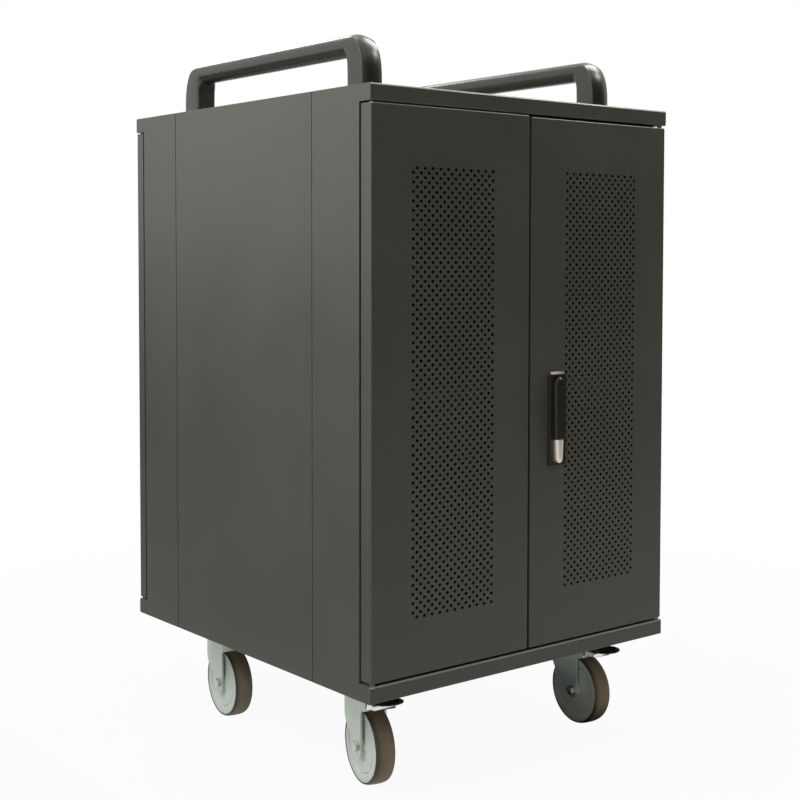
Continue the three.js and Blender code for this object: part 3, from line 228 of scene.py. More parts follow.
def painted_highlight_folds(tree, facing):
    """Picks out the folds that face up along the front and the rear, which get a painted highlight."""
    upper = add_node(tree, "ShaderNodeMapRange", {
        "Value": facing.outputs["Z"], "From Min": 0.1, "From Max": 0.3})
    outward = add_node(tree, "ShaderNodeMath", {0: facing.outputs["Y"]}, operation="ABSOLUTE")
    outer = add_node(tree, "ShaderNodeMapRange", {
        "Value": outward.outputs["Value"], "From Min": 0.15, "From Max": 0.4})
    return add_node(tree, "ShaderNodeMath", {
        0: upper.outputs["Result"], 1: outer.outputs["Result"]}, operation="MULTIPLY").outputs["Value"]


def painted_shade_shoulders(tree, facing):
    """Picks out the faces that turn sideways from the tread, which get painted shade."""
    sideways = add_node(tree, "ShaderNodeMath", {0: facing.outputs["X"]}, operation="ABSOLUTE")
    return add_node(tree, "ShaderNodeMapRange", {
        "Value": sideways.outputs["Value"], "From Min": 0.14, "From Max": 0.42}).outputs["Result"]


def finish(name, shades, cloud, roughness, grain, depth, metallic=0.0, ior=1.5, rim=None, shine=0.5):
    """A finish whose colour and gloss drift over cloud mm between two shades and two roughnesses,
    with a grain of the given width and depth in mm. A rim paints light or shade onto chosen faces: a
    painted highlight or painted shade in their own colour, with their own roughness."""
    material = bpy.data.materials.new(name)
    material.use_nodes = True
    tree = material.node_tree
    shader = tree.nodes["Principled BSDF"]
    shader.inputs["Metallic"].default_value = metallic
    if not metallic:
        shader.inputs["IOR"].default_value = ior
        shader.inputs["Specular IOR Level"].default_value = shine
    place = add_node(tree, "ShaderNodeTexCoord", {}).outputs["Object"]
    clouds = add_node(tree, "ShaderNodeTexNoise", {
        "Vector": place, "Scale": 1 / (cloud * MM), "Detail": 4.0, "Roughness": 0.6})
    drift = add_node(tree, "ShaderNodeMapRange", {
        "Value": clouds.outputs["Fac"], "From Min": 0.3, "From Max": 0.7})
    colour = add_node(tree, "ShaderNodeMix", {
        "Factor": drift.outputs["Result"], "A": linear(shades[0]), "B": linear(shades[1])},
        data_type="RGBA").outputs["Result"]
    gloss = add_node(tree, "ShaderNodeMapRange", {
        "Value": clouds.outputs["Fac"], "From Min": 0.3, "From Max": 0.7,
        "To Min": roughness[0], "To Max": roughness[1]}).outputs["Result"]
    # Painted light: the rim's faces take a colour that stands in for a highlight or for shade.
    if rim:
        painted_light_marker, painted_light_colour, rim_roughness = rim
        facing = add_node(tree, "ShaderNodeTexCoord", {}).outputs["Normal"]
        painted_light_mask = painted_light_marker(tree, add_node(tree, "ShaderNodeSeparateXYZ", {"Vector": facing}))
        colour = add_node(tree, "ShaderNodeMix", {
            "Factor": painted_light_mask, "A": colour, "B": linear(painted_light_colour)}, data_type="RGBA").outputs["Result"]
        gloss = add_node(tree, "ShaderNodeMix", {
            "Factor": painted_light_mask, "A": gloss, "B": rim_roughness}).outputs["Result"]
    tree.links.new(colour, shader.inputs["Base Color"])
    tree.links.new(gloss, shader.inputs["Roughness"])
    grains = add_node(tree, "ShaderNodeTexNoise", {
        "Vector": place, "Scale": 1 / (grain * MM), "Detail": 2.0})
    relief = add_node(tree, "ShaderNodeBump", {
        "Height": grains.outputs["Fac"], "Distance": depth * MM, "Strength": 1.0})
    tree.links.new(relief.outputs["Normal"], shader.inputs["Normal"])
    return material


# Powder-coated steel: dry paint baked on, so it is satin with a fine orange peel. The peel is about
# 1 mm on the real sheet and is drawn at 4 mm so that it shows, and the other finishes' grains are drawn
# coarse for the same reason. Folds that face up carry a painted highlight: pale paint, and a glossier finish.
cabinet_paint = finish("satin_powder_coated_steel", ("53524A", "57564E"), 160, (0.40, 0.48), 4, 0.03,
                       rim=(painted_highlight_folds, "A6A59E", 0.2), shine=0.3)
# The handles carry a heavier, glossier coat of the same paint, which breaks highlights into flecks.
handle_paint = finish("gloss_powder_coated_tube", ("35342D", "3A3932"), 60, (0.22, 0.3), 5, 0.06)
# Zinc-plated pressed steel: pale, slightly green passivate, with soft cloudy reflections.
fork_zinc = finish("zinc_plated_pressed_steel", ("B6C0B4", "C4CCC2"), 18, (0.36, 0.48), 2.5, 0.02,
                   metallic=0.85)
# Moulded polypropylene wheel centre: pale grey, faintly green, with a soft sheen.
core_plastic = finish("moulded_polypropylene", ("D8E0D4", "E0E8DC"), 25, (0.42, 0.52), 2, 0.015, ior=1.49)
# Moulded thermoplastic rubber: brown grey and matt, with painted shade on the shoulders that turn sideways
# from the tread.
tyre_rubber = finish("thermoplastic_rubber", ("8A7B66", "9C8B70"), 14, (0.62, 0.78), 1.6, 0.05, ior=1.52,
                     rim=(painted_shade_shoulders, "3C332A", 0.6))
# Black glass-filled nylon of the brake pedals: moulded with a fine spark texture.
pedal_nylon = finish("black_glass_filled_nylon", ("131416", "1A1B1D"), 12, (0.42, 0.55), 1.5, 0.03, ior=1.53)
# Black powder-coated zinc casting of the lock: smooth and satin, so it shows crisp edge lights.
lock_black = finish("black_coated_zinc_casting", ("34322A", "3A382F"), 20, (0.17, 0.23), 2, 0.01, shine=0.3)
# Satin nickel on the key housing: warm pale grey with a soft, slightly uneven polish.
key_nickel = finish("satin_nickel_casting", ("D6CFBF", "E6DFD0"), 8, (0.46, 0.58), 3, 0.4, metallic=1.0)
# Bright zinc-plated steel of axle bolts and the rear lock: clear, cool reflections.
bright_steel = finish("bright_zinc_steel", ("B9BAB5", "C6C7C2"), 10, (0.26, 0.38), 1.5, 0.015, metallic=1.0)
# Polished spring steel of the brake tabs: nearly white glints.
tab_steel = finish("polished_spring_steel", ("DEDEDA", "E8E8E4"), 10, (0.28, 0.36), 2, 0.01, metallic=1.0)
# Drawn steel of pivot pins, rods, bolts and keepers: dark and blurred, dulled by grease.
dull_steel = finish("greased_drawn_steel", ("62625E", "6C6C68"), 10, (0.40, 0.52), 1.5, 0.015, metallic=1.0)
# Moulded ABS of the laptop racks: dark grey with a spark-eroded texture.
rack_abs = finish("textured_dark_abs", ("26272A", "2D2E31"), 30, (0.50, 0.62), 1.5, 0.04, ior=1.54)
# Moulded black polycarbonate of the socket strips and the power inlet: smooth, with a faint sheen.
strip_plastic = finish("black_polycarbonate", ("151618", "1B1C1F"), 20, (0.38, 0.5), 1.5, 0.02, ior=1.58)


# Making pieces

def make_piece(name, shape, body, material, replaced=(), smooth=32, closed=True):
    """A piece from points and faces in millimetres, riding on a body."""
    points, faces = shape
    mesh = bpy.data.meshes.new(name)
    mesh.from_pydata([Vector(p) * MM for p in points], [], faces)
    gathered = bmesh.new()
    gathered.from_mesh(mesh)
    bmesh.ops.remove_doubles(gathered, verts=gathered.verts, dist=WELD_GAP * MM)
    bmesh.ops.dissolve_degenerate(gathered, edges=gathered.edges, dist=WELD_GAP * MM)
    gathered.edges.index_update()
    if closed:
        bmesh.ops.recalc_face_normals(gathered, faces=gathered.faces)
    rims = [edge.index for edge in gathered.edges if edge.is_boundary]
    gathered.to_mesh(mesh)
    gathered.free()
    mesh.shade_smooth()
    mesh.set_sharp_from_angle(angle=math.radians(smooth))
    for index in rims:
        mesh.edges[index].use_edge_sharp = True
    mesh.materials.append(material)
    piece = bpy.data.objects.new(name, mesh)
    bpy.context.scene.collection.objects.link(piece)
    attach(piece, body)
    if replaced:
        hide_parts(*replaced)
    return piece


def soften(piece, width, angle=35):
    """Rounds a piece's sharp edges."""
    edges = piece.modifiers.new("rounded_edges", "BEVEL")
    edges.width = width * MM
    edges.segments = 2
    edges.limit_method = "ANGLE"
    edges.angle_limit = math.radians(angle)
    edges.harden_normals = True


def thicken(piece, thickness):
    """Gives the outer face of a sheet its thickness."""
    gauge = piece.modifiers.new("sheet_thickness", "SOLIDIFY")
    gauge.thickness = thickness * MM
    gauge.offset = -1
    gauge.use_even_offset = True


def even_shading(piece):
    """Keeps large flat faces flat where they meet small rounded ones."""
    even = piece.modifiers.new("even_shading", "WEIGHTED_NORMAL")
    even.keep_sharp = True


def dress(node, material, edge):
    """Gives a CAD node its finish and breaks its sharp edges."""
    piece = nodes[node]
    piece.material_slots[0].link = "OBJECT"
    piece.material_slots[0].material = material
    weld = piece.modifiers.new("joined_corners", "WELD")
    weld.merge_threshold = CAD_WELD_GAP * MM
    flat = piece.modifiers.new("whole_faces", "DECIMATE")
    flat.decimate_type = "DISSOLVE"
    flat.angle_limit = math.radians(CAD_FLAT_ANGLE)
    soften(piece, edge)
    even_shading(piece)


def joined(*shapes):
    """Several shapes as one."""
    points, faces = [], []
    for more_points, more_faces in shapes:
        start = len(points)
        points += more_points
        faces += [[start + i for i in face] for face in more_faces]
    return points, faces


def placed(shape, matrix):
    """A shape moved by a matrix."""
    return [matrix @ Vector(p) for p in shape[0]], shape[1]


def lofted(rings, looped=False):
    """Skin over a row of closed rings with the same number of points, capped unless the row is a loop."""
    count = len(rings[0])
    points = [p for ring in rings for p in ring]
    faces = []
    for k in range(len(rings) if looped else len(rings) - 1):
        here, there = k * count, (k + 1) % len(rings) * count
        for i in range(count):
            j = (i + 1) % count
            faces.append([here + i, here + j, there + j, there + i])
    if not looped:
        faces.append(list(range(count))[::-1])
        faces.append(list(range(len(points) - count, len(points))))
    return points, faces


def patch(rows, side):
    """Grid of faces over rows of points, facing out on either side."""
    count = len(rows[0])
    points = [p for row in rows for p in row]
    faces = []
    for k in range(len(rows) - 1):
        for i in range(count - 1):
            a = k * count + i
            face = [a, a + 1, a + count + 1, a + count]
            faces.append(face if side > 0 else face[::-1])
    return points, faces


def turned(profile, steps):
    """Closed profile of (radius, height) points turned about z."""
    turns = [2 * math.pi * k / steps for k in range(steps)]
    return lofted([[(r * math.cos(t), r * math.sin(t), h) for r, h in profile] for t in turns], looped=True)


def arc(centre, radius, start, end, steps):
    """Points of an arc about a centre, angles in degrees."""
    angles = [math.radians(start + (end - start) * k / steps) for k in range(steps + 1)]
    return [(centre[0] + radius * math.cos(a), centre[1] + radius * math.sin(a)) for a in angles]


def rounded_rectangle(low, high, radius, steps):
    """Anticlockwise outline that starts at the lower right corner."""
    (u0, v0), (u1, v1) = low, high
    return (arc((u1 - radius, v0 + radius), radius, -90, 0, steps)
            + arc((u1 - radius, v1 - radius), radius, 0, 90, steps)
            + arc((u0 + radius, v1 - radius), radius, 90, 180, steps)
            + arc((u0 + radius, v0 + radius), radius, 180, 270, steps))


def circle(centre, radius, sides):
    """Corners of a circle, anticlockwise from its right-hand side."""
    return arc(centre, radius, 0, 360, sides)[:-1]


def along(table, z):
    """Value at height z in a table of (height, value) rows."""
    for (z0, a), (z1, b) in zip(table, table[1:]):
        if z <= z1:
            return a + (b - a) * max(0.0, z - z0) / (z1 - z0)
    return table[-1][1]


def slab(outline, axis, span):
    """A flat outline pushed along an axis from span[0] to span[1]; the other axes keep their order."""
    def lift(u, v, w):
        """Puts w in its place between u and v."""
        point = [u, v]
        point.insert(axis, w)
        return tuple(point)
    return lofted([[lift(u, v, w) for u, v in outline] for w in span])


# Front doors

def fill_flat(gathered, loops, facing):
    """Fills the flat area between an outer loop of corners and the loops inside it."""
    edges = []
    for loop in loops:
        for a, b in zip(loop, loop[1:] + loop[:1]):
            edges.append(gathered.edges.get((a, b)) or gathered.edges.new((a, b)))
    made = bmesh.ops.triangle_fill(gathered, use_beauty=True, edges=edges, normal=facing)
    for face in [item for item in made["geom"] if isinstance(item, bmesh.types.BMFace)]:
        face.normal_update()
        if face.normal.dot(Vector(facing)) < 0:
            face.normal_flip()


def punched_field(gathered, corner, face_y, first):
    """Staggered holes, slightly wider than high, each in its own cell of sheet; first is 1 where the lowest
    row is a shifted one. Returns the loop of corners round it all."""
    lines = 2 * PUNCHES_PER_ROW + 2
    left = corner[0] - PUNCH_STEP_X
    bottom = corner[1] - PUNCH_STEP_Z / 2
    grid = [[gathered.verts.new((left + i * PUNCH_STEP_X, face_y, bottom + k * PUNCH_STEP_Z))
             for i in range(lines)] for k in range(PUNCH_ROWS + 1)]
    for k in range(PUNCH_ROWS):
        low, high = grid[k], grid[k + 1]
        start = (k + first) % 2
        plain = lines - 2 if start == 0 else 0
        gathered.faces.new((low[plain], low[plain + 1], high[plain + 1], high[plain]))
        for i in range(start, lines - 2, 2):
            middle = (left + (i + 1) * PUNCH_STEP_X, bottom + (k + 0.5) * PUNCH_STEP_Z)
            rim = [(middle[0] + PUNCH_RADII[0] * u, face_y, middle[1] + PUNCH_RADII[1] * v)
                   for u, v in circle((0, 0), 1, PUNCH_SIDES)]
            hole = [gathered.verts.new(point) for point in rim]
            border = [low[i + 2], high[i + 2], high[i + 1], high[i], low[i], low[i + 1]]
            for step, a in enumerate(border):
                b = border[(step + 1) % len(border)]
                near, mid, far = (hole[(2 * step + turn) % PUNCH_SIDES] for turn in (-1, 0, 1))
                gathered.faces.new((a, b, mid))
                gathered.faces.new((b, far, mid))
                gathered.faces.new((a, mid, near))
    return grid[0] + [row[-1] for row in grid[1:]] + grid[-1][-2::-1] + [row[0] for row in grid[-2:0:-1]]


def door_sheet(node, field, first, skin_holes, slots):
    """One sheet punched and folded back on all four sides, with a lip along each upright edge."""
    low, high = corners(node)
    gathered = bmesh.new()

    def edge_loop(inset, depth):
        """Corners of the door's outline drawn in by an inset, at a depth behind its face."""
        radius = max(DOOR_CORNER - inset, CORNER_LEAST)
        outline = rounded_rectangle((low.x + inset, low.z + inset), (high.x - inset, high.z - inset),
                                    radius, CORNER_STEPS)
        return [gathered.verts.new((x, low.y + depth, z)) for x, z in outline]

    loops = []
    for k in range(FOLD_STEPS + 1):
        turn = math.radians(90 * k / FOLD_STEPS)
        loops.append(edge_loop(FOLD_RADIUS * (1 - math.sin(turn)), FOLD_RADIUS * (1 - math.cos(turn))))
    loops.append(edge_loop(0, high.y - low.y))
    right_side, top_side, left_side, bottom_side = (CORNER_STEPS + k * (CORNER_STEPS + 1) for k in range(4))
    for k, (near, far) in enumerate(zip(loops, loops[1:])):
        for i in range(len(near)):
            j = (i + 1) % len(near)
            if k == FOLD_STEPS and i in (bottom_side, top_side):
                plane = low.z if i == bottom_side else high.z
                rims = []
                for outline in slots[0 if i == bottom_side else 1]:
                    rims.append([gathered.verts.new((x, y, plane)) for x, y in outline])
                fill_flat(gathered, [[near[i], far[i], far[j], near[j]]] + rims,
                          (0, 0, -1 if i == bottom_side else 1))
            else:
                gathered.faces.new((near[i], far[i], far[j], near[j]))
    for i, inward in ((right_side, -1), (left_side, 1)):
        a, b = loops[-1][i], loops[-1][i + 1]
        c, d = (gathered.verts.new(v.co + Vector((inward * DOOR_LIP, 0, 0))) for v in (b, a))
        gathered.faces.new((a, d, c, b))
    rims = [[gathered.verts.new((x, low.y, z)) for x, z in outline] for outline in skin_holes]
    border = punched_field(gathered, field, low.y, first)
    fill_flat(gathered, [loops[0], border] + rims, (0, -1, 0))
    gathered.verts.index_update()
    shape = [v.co.copy() for v in gathered.verts], [[v.index for v in f.verts] for f in gathered.faces]
    gathered.free()
    return shape


def strap(x, half, y, reach, z):
    """Bridge of bent strip over a rod, spot welded to the door's skin by its two feet."""
    thick = STRAP_THICKNESS
    right = [(half, reach), (half, 0), (half + STRAP_FOOT, 0),
             (half + STRAP_FOOT, thick), (half + thick, thick), (half + thick, reach + thick)]
    outline = [(x + u, y + v) for u, v in right] + [(x - u, y + v) for u, v in right[::-1]]
    return slab(outline, 2, (z - STRAP_HALF_HEIGHT, z + STRAP_HALF_HEIGHT))


def bush(x, y, span):
    """Plain bush round a pivot pin."""
    profile = [(PIN_BORE, span[0]), (BUSH_RADIUS, span[0]), (BUSH_RADIUS, span[1]), (PIN_BORE, span[1])]
    return placed(turned(profile, BUSH_STEPS), Matrix.Translation((x, y, 0)))


def oblong(x, y, half_x, half_y):
    """Outline of a slot for a flat bar."""
    return rounded_rectangle((x - half_x, y - half_y), (x + half_x, y + half_y), SLOT_CORNER, 2)


def front_door(node, field, first, pivot_x, rod_x, rod_slot, rod_depths, straps, skin_holes):
    """Door sheet with bushes for its pivot pins and two straps for its rods or bolts."""
    low, high = corners(node)
    pivot_y = low.y + PIVOT_DEPTH
    slots = [[circle((pivot_x, pivot_y), PIN_BORE, BORE_SIDES), oblong(rod_x, low.y + depth, *rod_slot)]
             for depth in rod_depths]
    sheet = make_piece(node + "_sheet", door_sheet(node, field, first, skin_holes, slots), node,
                       cabinet_paint, [node], closed=False)
    thicken(sheet, SHEET)
    even_shading(sheet)
    skin_back = low.y + SHEET
    fittings = [bush(pivot_x, pivot_y, (low.z + SHEET, low.z + BUSH_LENGTH)),
                bush(pivot_x, pivot_y, (high.z - BUSH_LENGTH, high.z - SHEET))]
    from_end, lower_reach, upper_reach = straps
    fittings.append(strap(rod_x, rod_slot[0], skin_back, upper_reach, high.z - from_end))
    fittings.append(strap(rod_x, rod_slot[0], skin_back, lower_reach, low.z + from_end))
    soften(make_piece(node + "_fittings", joined(*fittings), node, cabinet_paint), 0.3)


front_door("left_door", LEFT_FIELD, 1, -PIVOT_X, BOLT_X, BOLT_SLOT, BOLT_DEPTHS, BOLT_STRAPS, [])
front_door("right_door", RIGHT_FIELD, 0, PIVOT_X, LOCK_X, ROD_SLOT, ROD_DEPTHS, ROD_STRAPS,
           [circle((LOCK_X, LOCK_Z), SPINDLE_BORE, BORE_SIDES)])


# Bow handles

def handle_section(depth, crown, edge, inner_round):
    """Section as points across and above the inner face: crowned outside, with rounded edges."""
    half = HANDLE_HALF_WIDTH
    reach = half - edge
    shares = [k / CROWN_STEPS for k in range(CROWN_STEPS + 1)]
    right = [(reach * share, depth - crown * share ** 2) for share in shares]
    right += arc((reach, depth - crown - edge), edge, CROWN_EDGE_ANGLE, 0, OUTER_EDGE_STEPS)
    right += arc((half - inner_round, inner_round), inner_round, 0, -90, INNER_EDGE_STEPS)
    return right + [(-x, n) for x, n in right[:0:-1]]


def bend_point(share):
    """Outer and inner edge of the handle's side at a share of its bend, from leg to bar. The outer edge is
    a curve with two pulls, the inner one a straight leg and a round corner."""
    end, top = HANDLE_HALF_LENGTH, HANDLE_HEIGHT
    foot = top - SHOULDER_HEIGHT
    pulls = [Vector((end, foot)), Vector((end, top - SHOULDER_PULL[1] * SHOULDER_HEIGHT)),
             Vector((end - SHOULDER_PULL[0] * SHOULDER_LENGTH, top)), Vector((end - SHOULDER_LENGTH, top))]
    weights = [(1 - share) ** 3, 3 * share * (1 - share) ** 2, 3 * share ** 2 * (1 - share), share ** 3]
    outer = sum((weight * pull for weight, pull in zip(weights, pulls)), Vector((0, 0)))
    leg, corner = end - LEG_DEPTH, top - BAR_DEPTH - INNER_BEND
    rise = corner - foot
    walked = share * (rise + INNER_BEND * math.pi / 2)
    if walked < rise:
        return outer, Vector((leg, foot + walked))
    turn = (walked - rise) / INNER_BEND
    return outer, Vector((leg - INNER_BEND * (1 - math.cos(turn)), corner + INNER_BEND * math.sin(turn)))


def bow_handle(side):
    """Tube bent to a bow: its legs are pressed flat at the sides and its bar is left round."""
    foot = Vector((HANDLE_HALF_LENGTH, HANDLE_GAP))
    half = [(0.0, foot, foot - Vector((LEG_DEPTH, 0)))]
    half += [(k / BEND_STEPS, *bend_point(k / BEND_STEPS)) for k in range(BEND_STEPS + 1)]
    mirrored = [(share, Vector((-o.x, o.y)), Vector((-i.x, i.y))) for share, o, i in half[::-1]]
    rings = []
    for share, outer, inner in half + mirrored:
        late = max(0.0, (share - SECTION_CHANGE) / (1 - SECTION_CHANGE))
        blend = late * late * (3 - 2 * late)
        section = [a + (b - a) * blend for a, b in zip(LEG_SECTION, BAR_SECTION)]
        span = outer - inner
        out = span.normalized()
        rings.append([(side * HANDLE_X + x, CENTRE_Y + inner.x + n * out.x, CAP_TOP + inner.y + n * out.y)
                      for x, n in handle_section(span.length, *section)])
    return lofted(rings)


for side, name in ((-1, "left_handle"), (1, "right_handle")):
    make_piece(name + "_tube", bow_handle(side), "cabinet", handle_paint, [name], smooth=34)


# Lock

def lever_back(z):
    """How far the lever's back lies behind its pivot; it tapers above the pivot to leave room for lifting."""
    return along(LEVER_BACK, z - LOCK_Z)


def lock_lever():
    """Cast lever with a half-round upper end; its front edge is bevelled, widest round that end."""
    pivot_y = corners("lock_lever")[0].y + LEVER_PIVOT_DEPTH
    rings = []
    for depth, inset, drop in LEVER_RINGS:
        half = LEVER_HALF - inset
        foot_half, foot_z = half - LEVER_FOOT_TAPER, LEVER_FOOT + inset / 2
        outline = arc((LOCK_X, LEVER_SHOULDER - drop), half, 0, 180, 20)
        outline += [(LOCK_X - foot_half, foot_z), (LOCK_X + foot_half, foot_z)]
        rings.append([(x, pivot_y + (lever_back(z) if depth is None else depth), z) for x, z in outline])
    return lofted(rings)


def key_housing():
    """Cast housing of the key cylinder: tapered, with a domed face and a round lower end."""
    back = corners("key_housing")[1].y
    reach = back - corners("lock_lever")[0].y - KEY_FACE_BACK
    rings = []
    for k in range(KEY_ROWS + 1):
        z = KEY_TOP + (KEY_BOTTOM - KEY_TOP) * k / KEY_ROWS
        fall = max(0.0, KEY_BOTTOM + KEY_ROUND - z)
        half = KEY_HALVES[0] + (KEY_HALVES[1] - KEY_HALVES[0]) * k / KEY_ROWS
        half *= math.sqrt(max(KEY_END_LEAST, 1 - (fall / KEY_ROUND_REACH) ** 2))
        face = back - reach * (KEY_TOP_SHARE if k == 0 else 1.0 - KEY_END_FALL * (fall / KEY_ROUND) ** 2)
        radius = min(KEY_EDGE, half * KEY_EDGE_SHARE)
        outline = (arc((KEY_X - half + radius, face + radius), radius, 180, 270, 5)
                   + arc((KEY_X + half - radius, face + radius), radius, 270, 360, 5)
                   + [(KEY_X + half, back), (KEY_X - half, back)])
        rings.append([(x, y, z) for x, y in outline])
    return lofted(rings)


def lock_plate():
    """Back plate of the lock, with a wide bevel along its top edge."""
    low, high = corners("lock_plate")
    rings = []
    for depth, inset, drop in PLATE_BEVEL + [(high.y - low.y, 0, 0)]:
        outline = rounded_rectangle((low.x + inset, low.z + PLATE_LIFT + inset),
                                    (high.x + PLATE_EXTRA - inset, high.z - drop), PLATE_CORNER - inset, 6)
        rings.append([(x, low.y + depth, z) for x, z in outline])
    return lofted(rings)


make_piece("lock_escutcheon", lock_plate(), "right_door", lock_black, ["lock_plate"],
           smooth=20)
make_piece("lock_swing_lever", lock_lever(), "lock_lever", lock_black, ["lock_lever"],
           smooth=20)
make_piece("key_cylinder_housing", key_housing(), "right_door", key_nickel, ["key_housing"],
           smooth=50)


# Casters

def caster_place(side_x, side_y, turn):
    """Where a caster stands and how far it is turned about its swivel."""
    spot = Matrix.Translation((side_x * CASTER_X, CENTRE_Y + side_y * CASTER_Y, 0))
    return spot @ Matrix.Rotation(math.radians(turn), 4, "Z")


WHEEL_AXIS = Matrix.Translation((0, -CASTER_TRAIL, WHEEL_RADIUS)) @ Matrix.Rotation(math.pi / 2, 4, "Y")


def mirrored_profile(half):
    """Profile of one face of a wheel, completed with its other face."""
    return half + [(r, -h) for r, h in half[::-1]]


def tyre():
    """Crowned tread that runs into soft shoulders."""
    fall = WHEEL_RADIUS - CORE_RADIUS
    turns = [math.radians(angle) for angle in TYRE_ANGLES]
    crown = [(CORE_RADIUS + fall * math.cos(turn) ** TYRE_SOFTNESS,
              TYRE_HALF * math.sin(turn) ** TYRE_SOFTNESS) for turn in turns]
    return turned(mirrored_profile(crown + [(CORE_RADIUS - 0.6, TYRE_HALF - 0.3)]), TURNED_STEPS)


def wheel_core():
    """Dished wheel centre with a hub, a groove round the dish and a flat rim."""
    dish = CORE_FACE - DISH_DEPTH
    groove = dish - GROOVE_DEPTH
    half = [(5.6, HUB_FACE), (12.6, HUB_FACE), (13.8, HUB_FACE - 0.9), (14.4, dish + 0.6), (16, dish),
            (42.6, dish), (43.2, groove), (44.6, groove), (45.4, CORE_FACE - 0.5), (47, CORE_FACE),
            (CORE_RADIUS - 2, CORE_FACE), (CORE_RADIUS - 0.9, CORE_FACE - 0.3),
            (CORE_RADIUS - 0.5, CORE_FACE - 1.0)]
    return turned(mirrored_profile(half), TURNED_STEPS)


def fork_point(s):
    """Plan position along a cheek: straight to the fold, then round the flank to the middle of the skirt."""
    if s <= 0:
        return FORK_HALF, FORK_FOLD + s
    for (x0, y0), (x1, y1) in zip(FLANK, FLANK[1:]):
        length = math.hypot(x1 - x0, y1 - y0)
        if s <= length:
            return x0 + (x1 - x0) * s / length, y0 + (y1 - y0) * s / length
        s -= length
    return FLANK[-1]


def fork_row(side, z, start, stop, steps):
    """Points across the fork's sheet at one height."""
    spots = [fork_point(start + (stop - start) * k / steps) for k in range(steps + 1)]
    return [(side * x, y, z) for x, y in spots]


def fork_shell(braked):
    """Pressed fork, as the outer face of its sheet: two cheeks that join in a skirt behind the wheel. Its
    tables give an edge's place at a height: y for the cheeks, and the way along the flank for the skirt."""
    front = [(48, -44), (50, -49.5), (53, -52.3), (56, -53), (120, -53), (124, -56)]
    if braked:
        front += [(128, -71), (142, -71), (147, -60), (CROWN_TOP, -52)]
    else:
        front += [(138, -56), (CROWN_TOP, -46)]
    rear = [(48, -38), (50, -33), (54, -29.5), (60, -26), (68, -20), (SKIRT_FOOT, FORK_FOLD)]
    skirt = [(SKIRT_FOOT, 0), (82, 8), (88, 17), (94, 26), (102, 34), (110, 39), (126, 44), (132, 50),
             (136, FLANK_LENGTH), (CROWN_TOP, FLANK_LENGTH)]
    heights = [48, 49, 50, 51.5, 53, *range(56, 73, 4), SKIRT_FOOT, 79, *range(82, 95, 3), *range(98, 119, 4),
               *range(120, 137, 2), 139, 142, 145, 147, CROWN_TOP]
    shapes = []
    for side in (-1, 1):
        cheek, flank = [], []
        for z in heights:
            cheek.append(fork_row(side, z, along(front, z) - FORK_FOLD, along(rear, z) - FORK_FOLD, 6))
            if z >= SKIRT_FOOT:
                flank.append(fork_row(side, z, 0, along(skirt, z), 16))
        shapes += [patch(cheek, side), patch(flank, side)]
    return joined(*shapes)


def fork_crown(braked):
    """Top of the fork, its ball race, and the web over the front of the wheel."""
    front = -52 if braked else -46
    inset_x, inset_y = CROWN_INSET
    right = [(FORK_HALF - inset_x, front), (FORK_HALF - inset_x, FORK_FOLD)]
    right += [(x - inset_x, y - inset_y) for x, y in FLANK[1:-1]]
    plan = right + [(-x, y) for x, y in right[::-1]]
    top = slab(plan, 2, (CROWN_TOP - FORK_SHEET, CROWN_TOP))
    race = [(7, CROWN_TOP - 0.5), (27, CROWN_TOP - 0.5), (29, CROWN_TOP + 1.5), (29, CROWN_TOP + 4.6),
            (27.5, RACE_TOP), (7, RACE_TOP)]
    inner = FORK_HALF - FORK_SHEET + 0.2
    web = [(-56, 122), (-52.5, 122), (-52.5, 134), (-41, 146.6), (-41, 149.8), (-46, 149.8), (-56, 138.5)]
    return joined(top, turned(race, RACE_STEPS), slab(web, 0, (-inner, inner)))


def pad_outline(inset):
    """Outline of the foot pad: a wide leaf, blunt at both sides."""
    outline = []
    for k in range(PAD_SIDES):
        turn = 2 * math.pi * k / PAD_SIDES
        x = (PAD_HALF[0] - inset) * math.cos(turn)
        y = (PAD_HALF[1] - inset) * math.copysign(abs(math.sin(turn)) ** PAD_BLUNTNESS, math.sin(turn))
        outline.append((x, y))
    return outline


def pedal_pad():
    """Foot pad: a thin moulded leaf with a raised rim and grip ribs, on an arm from the pivot."""
    tilt = Matrix.Translation((0, *PAD_CENTRE)) @ Matrix.Rotation(math.radians(PAD_TILT), 4, "X")
    pad = lofted([[(x, y, height) for x, y in pad_outline(inset)] for height, inset in PAD_RINGS])
    ribs = [slab(rounded_rectangle((-half, y - RIB_HALF), (half, y + RIB_HALF), RIB_ROUND, 3), 2, (0.4, 1.8))
            for y, half in PAD_RIBS]
    arm = slab([(-64, 141), (-69, 136), (-99, 147.5), (-99, 150.5)], 0, (-12, 12))
    belly = slab([(-61, 129), (-64, 138), (-96, 141.5), (-93, 134)], 0, (-19, 19))
    bore, radius, half, steps = PEDAL_HUB
    hub = placed(turned([(bore, -half), (radius, -half), (radius, half), (bore, half)], steps),
                 Matrix.Translation((0, *PEDAL_PIVOT)) @ Matrix.Rotation(math.pi / 2, 4, "Y"))
    return joined(placed(joined(pad, *ribs), tilt), arm, belly, hub)


def pedal_tab():
    """Sprung steel tab under the pad: a flat arm from the pivot, a cheek on one side and a front flange that
    narrows to the other."""
    arm = slab([(-66, 139.5), (-68, 138), (-98, 142.4), (-98, 144.2)], 0, (-17, 17))
    cheek = slab([(-73, 131), (-75, 142), (-98, 144.5), (-98, 138.6)], 0, (-22.4, -19.4))
    flange = slab([(-24, 144.5), (-24, 138.6), (-21, 137.6), (17, 141.0), (20, 142.4), (20, 144.5)],
                  1, (-101.5, -97.5))
    return joined(arm, cheek, flange)


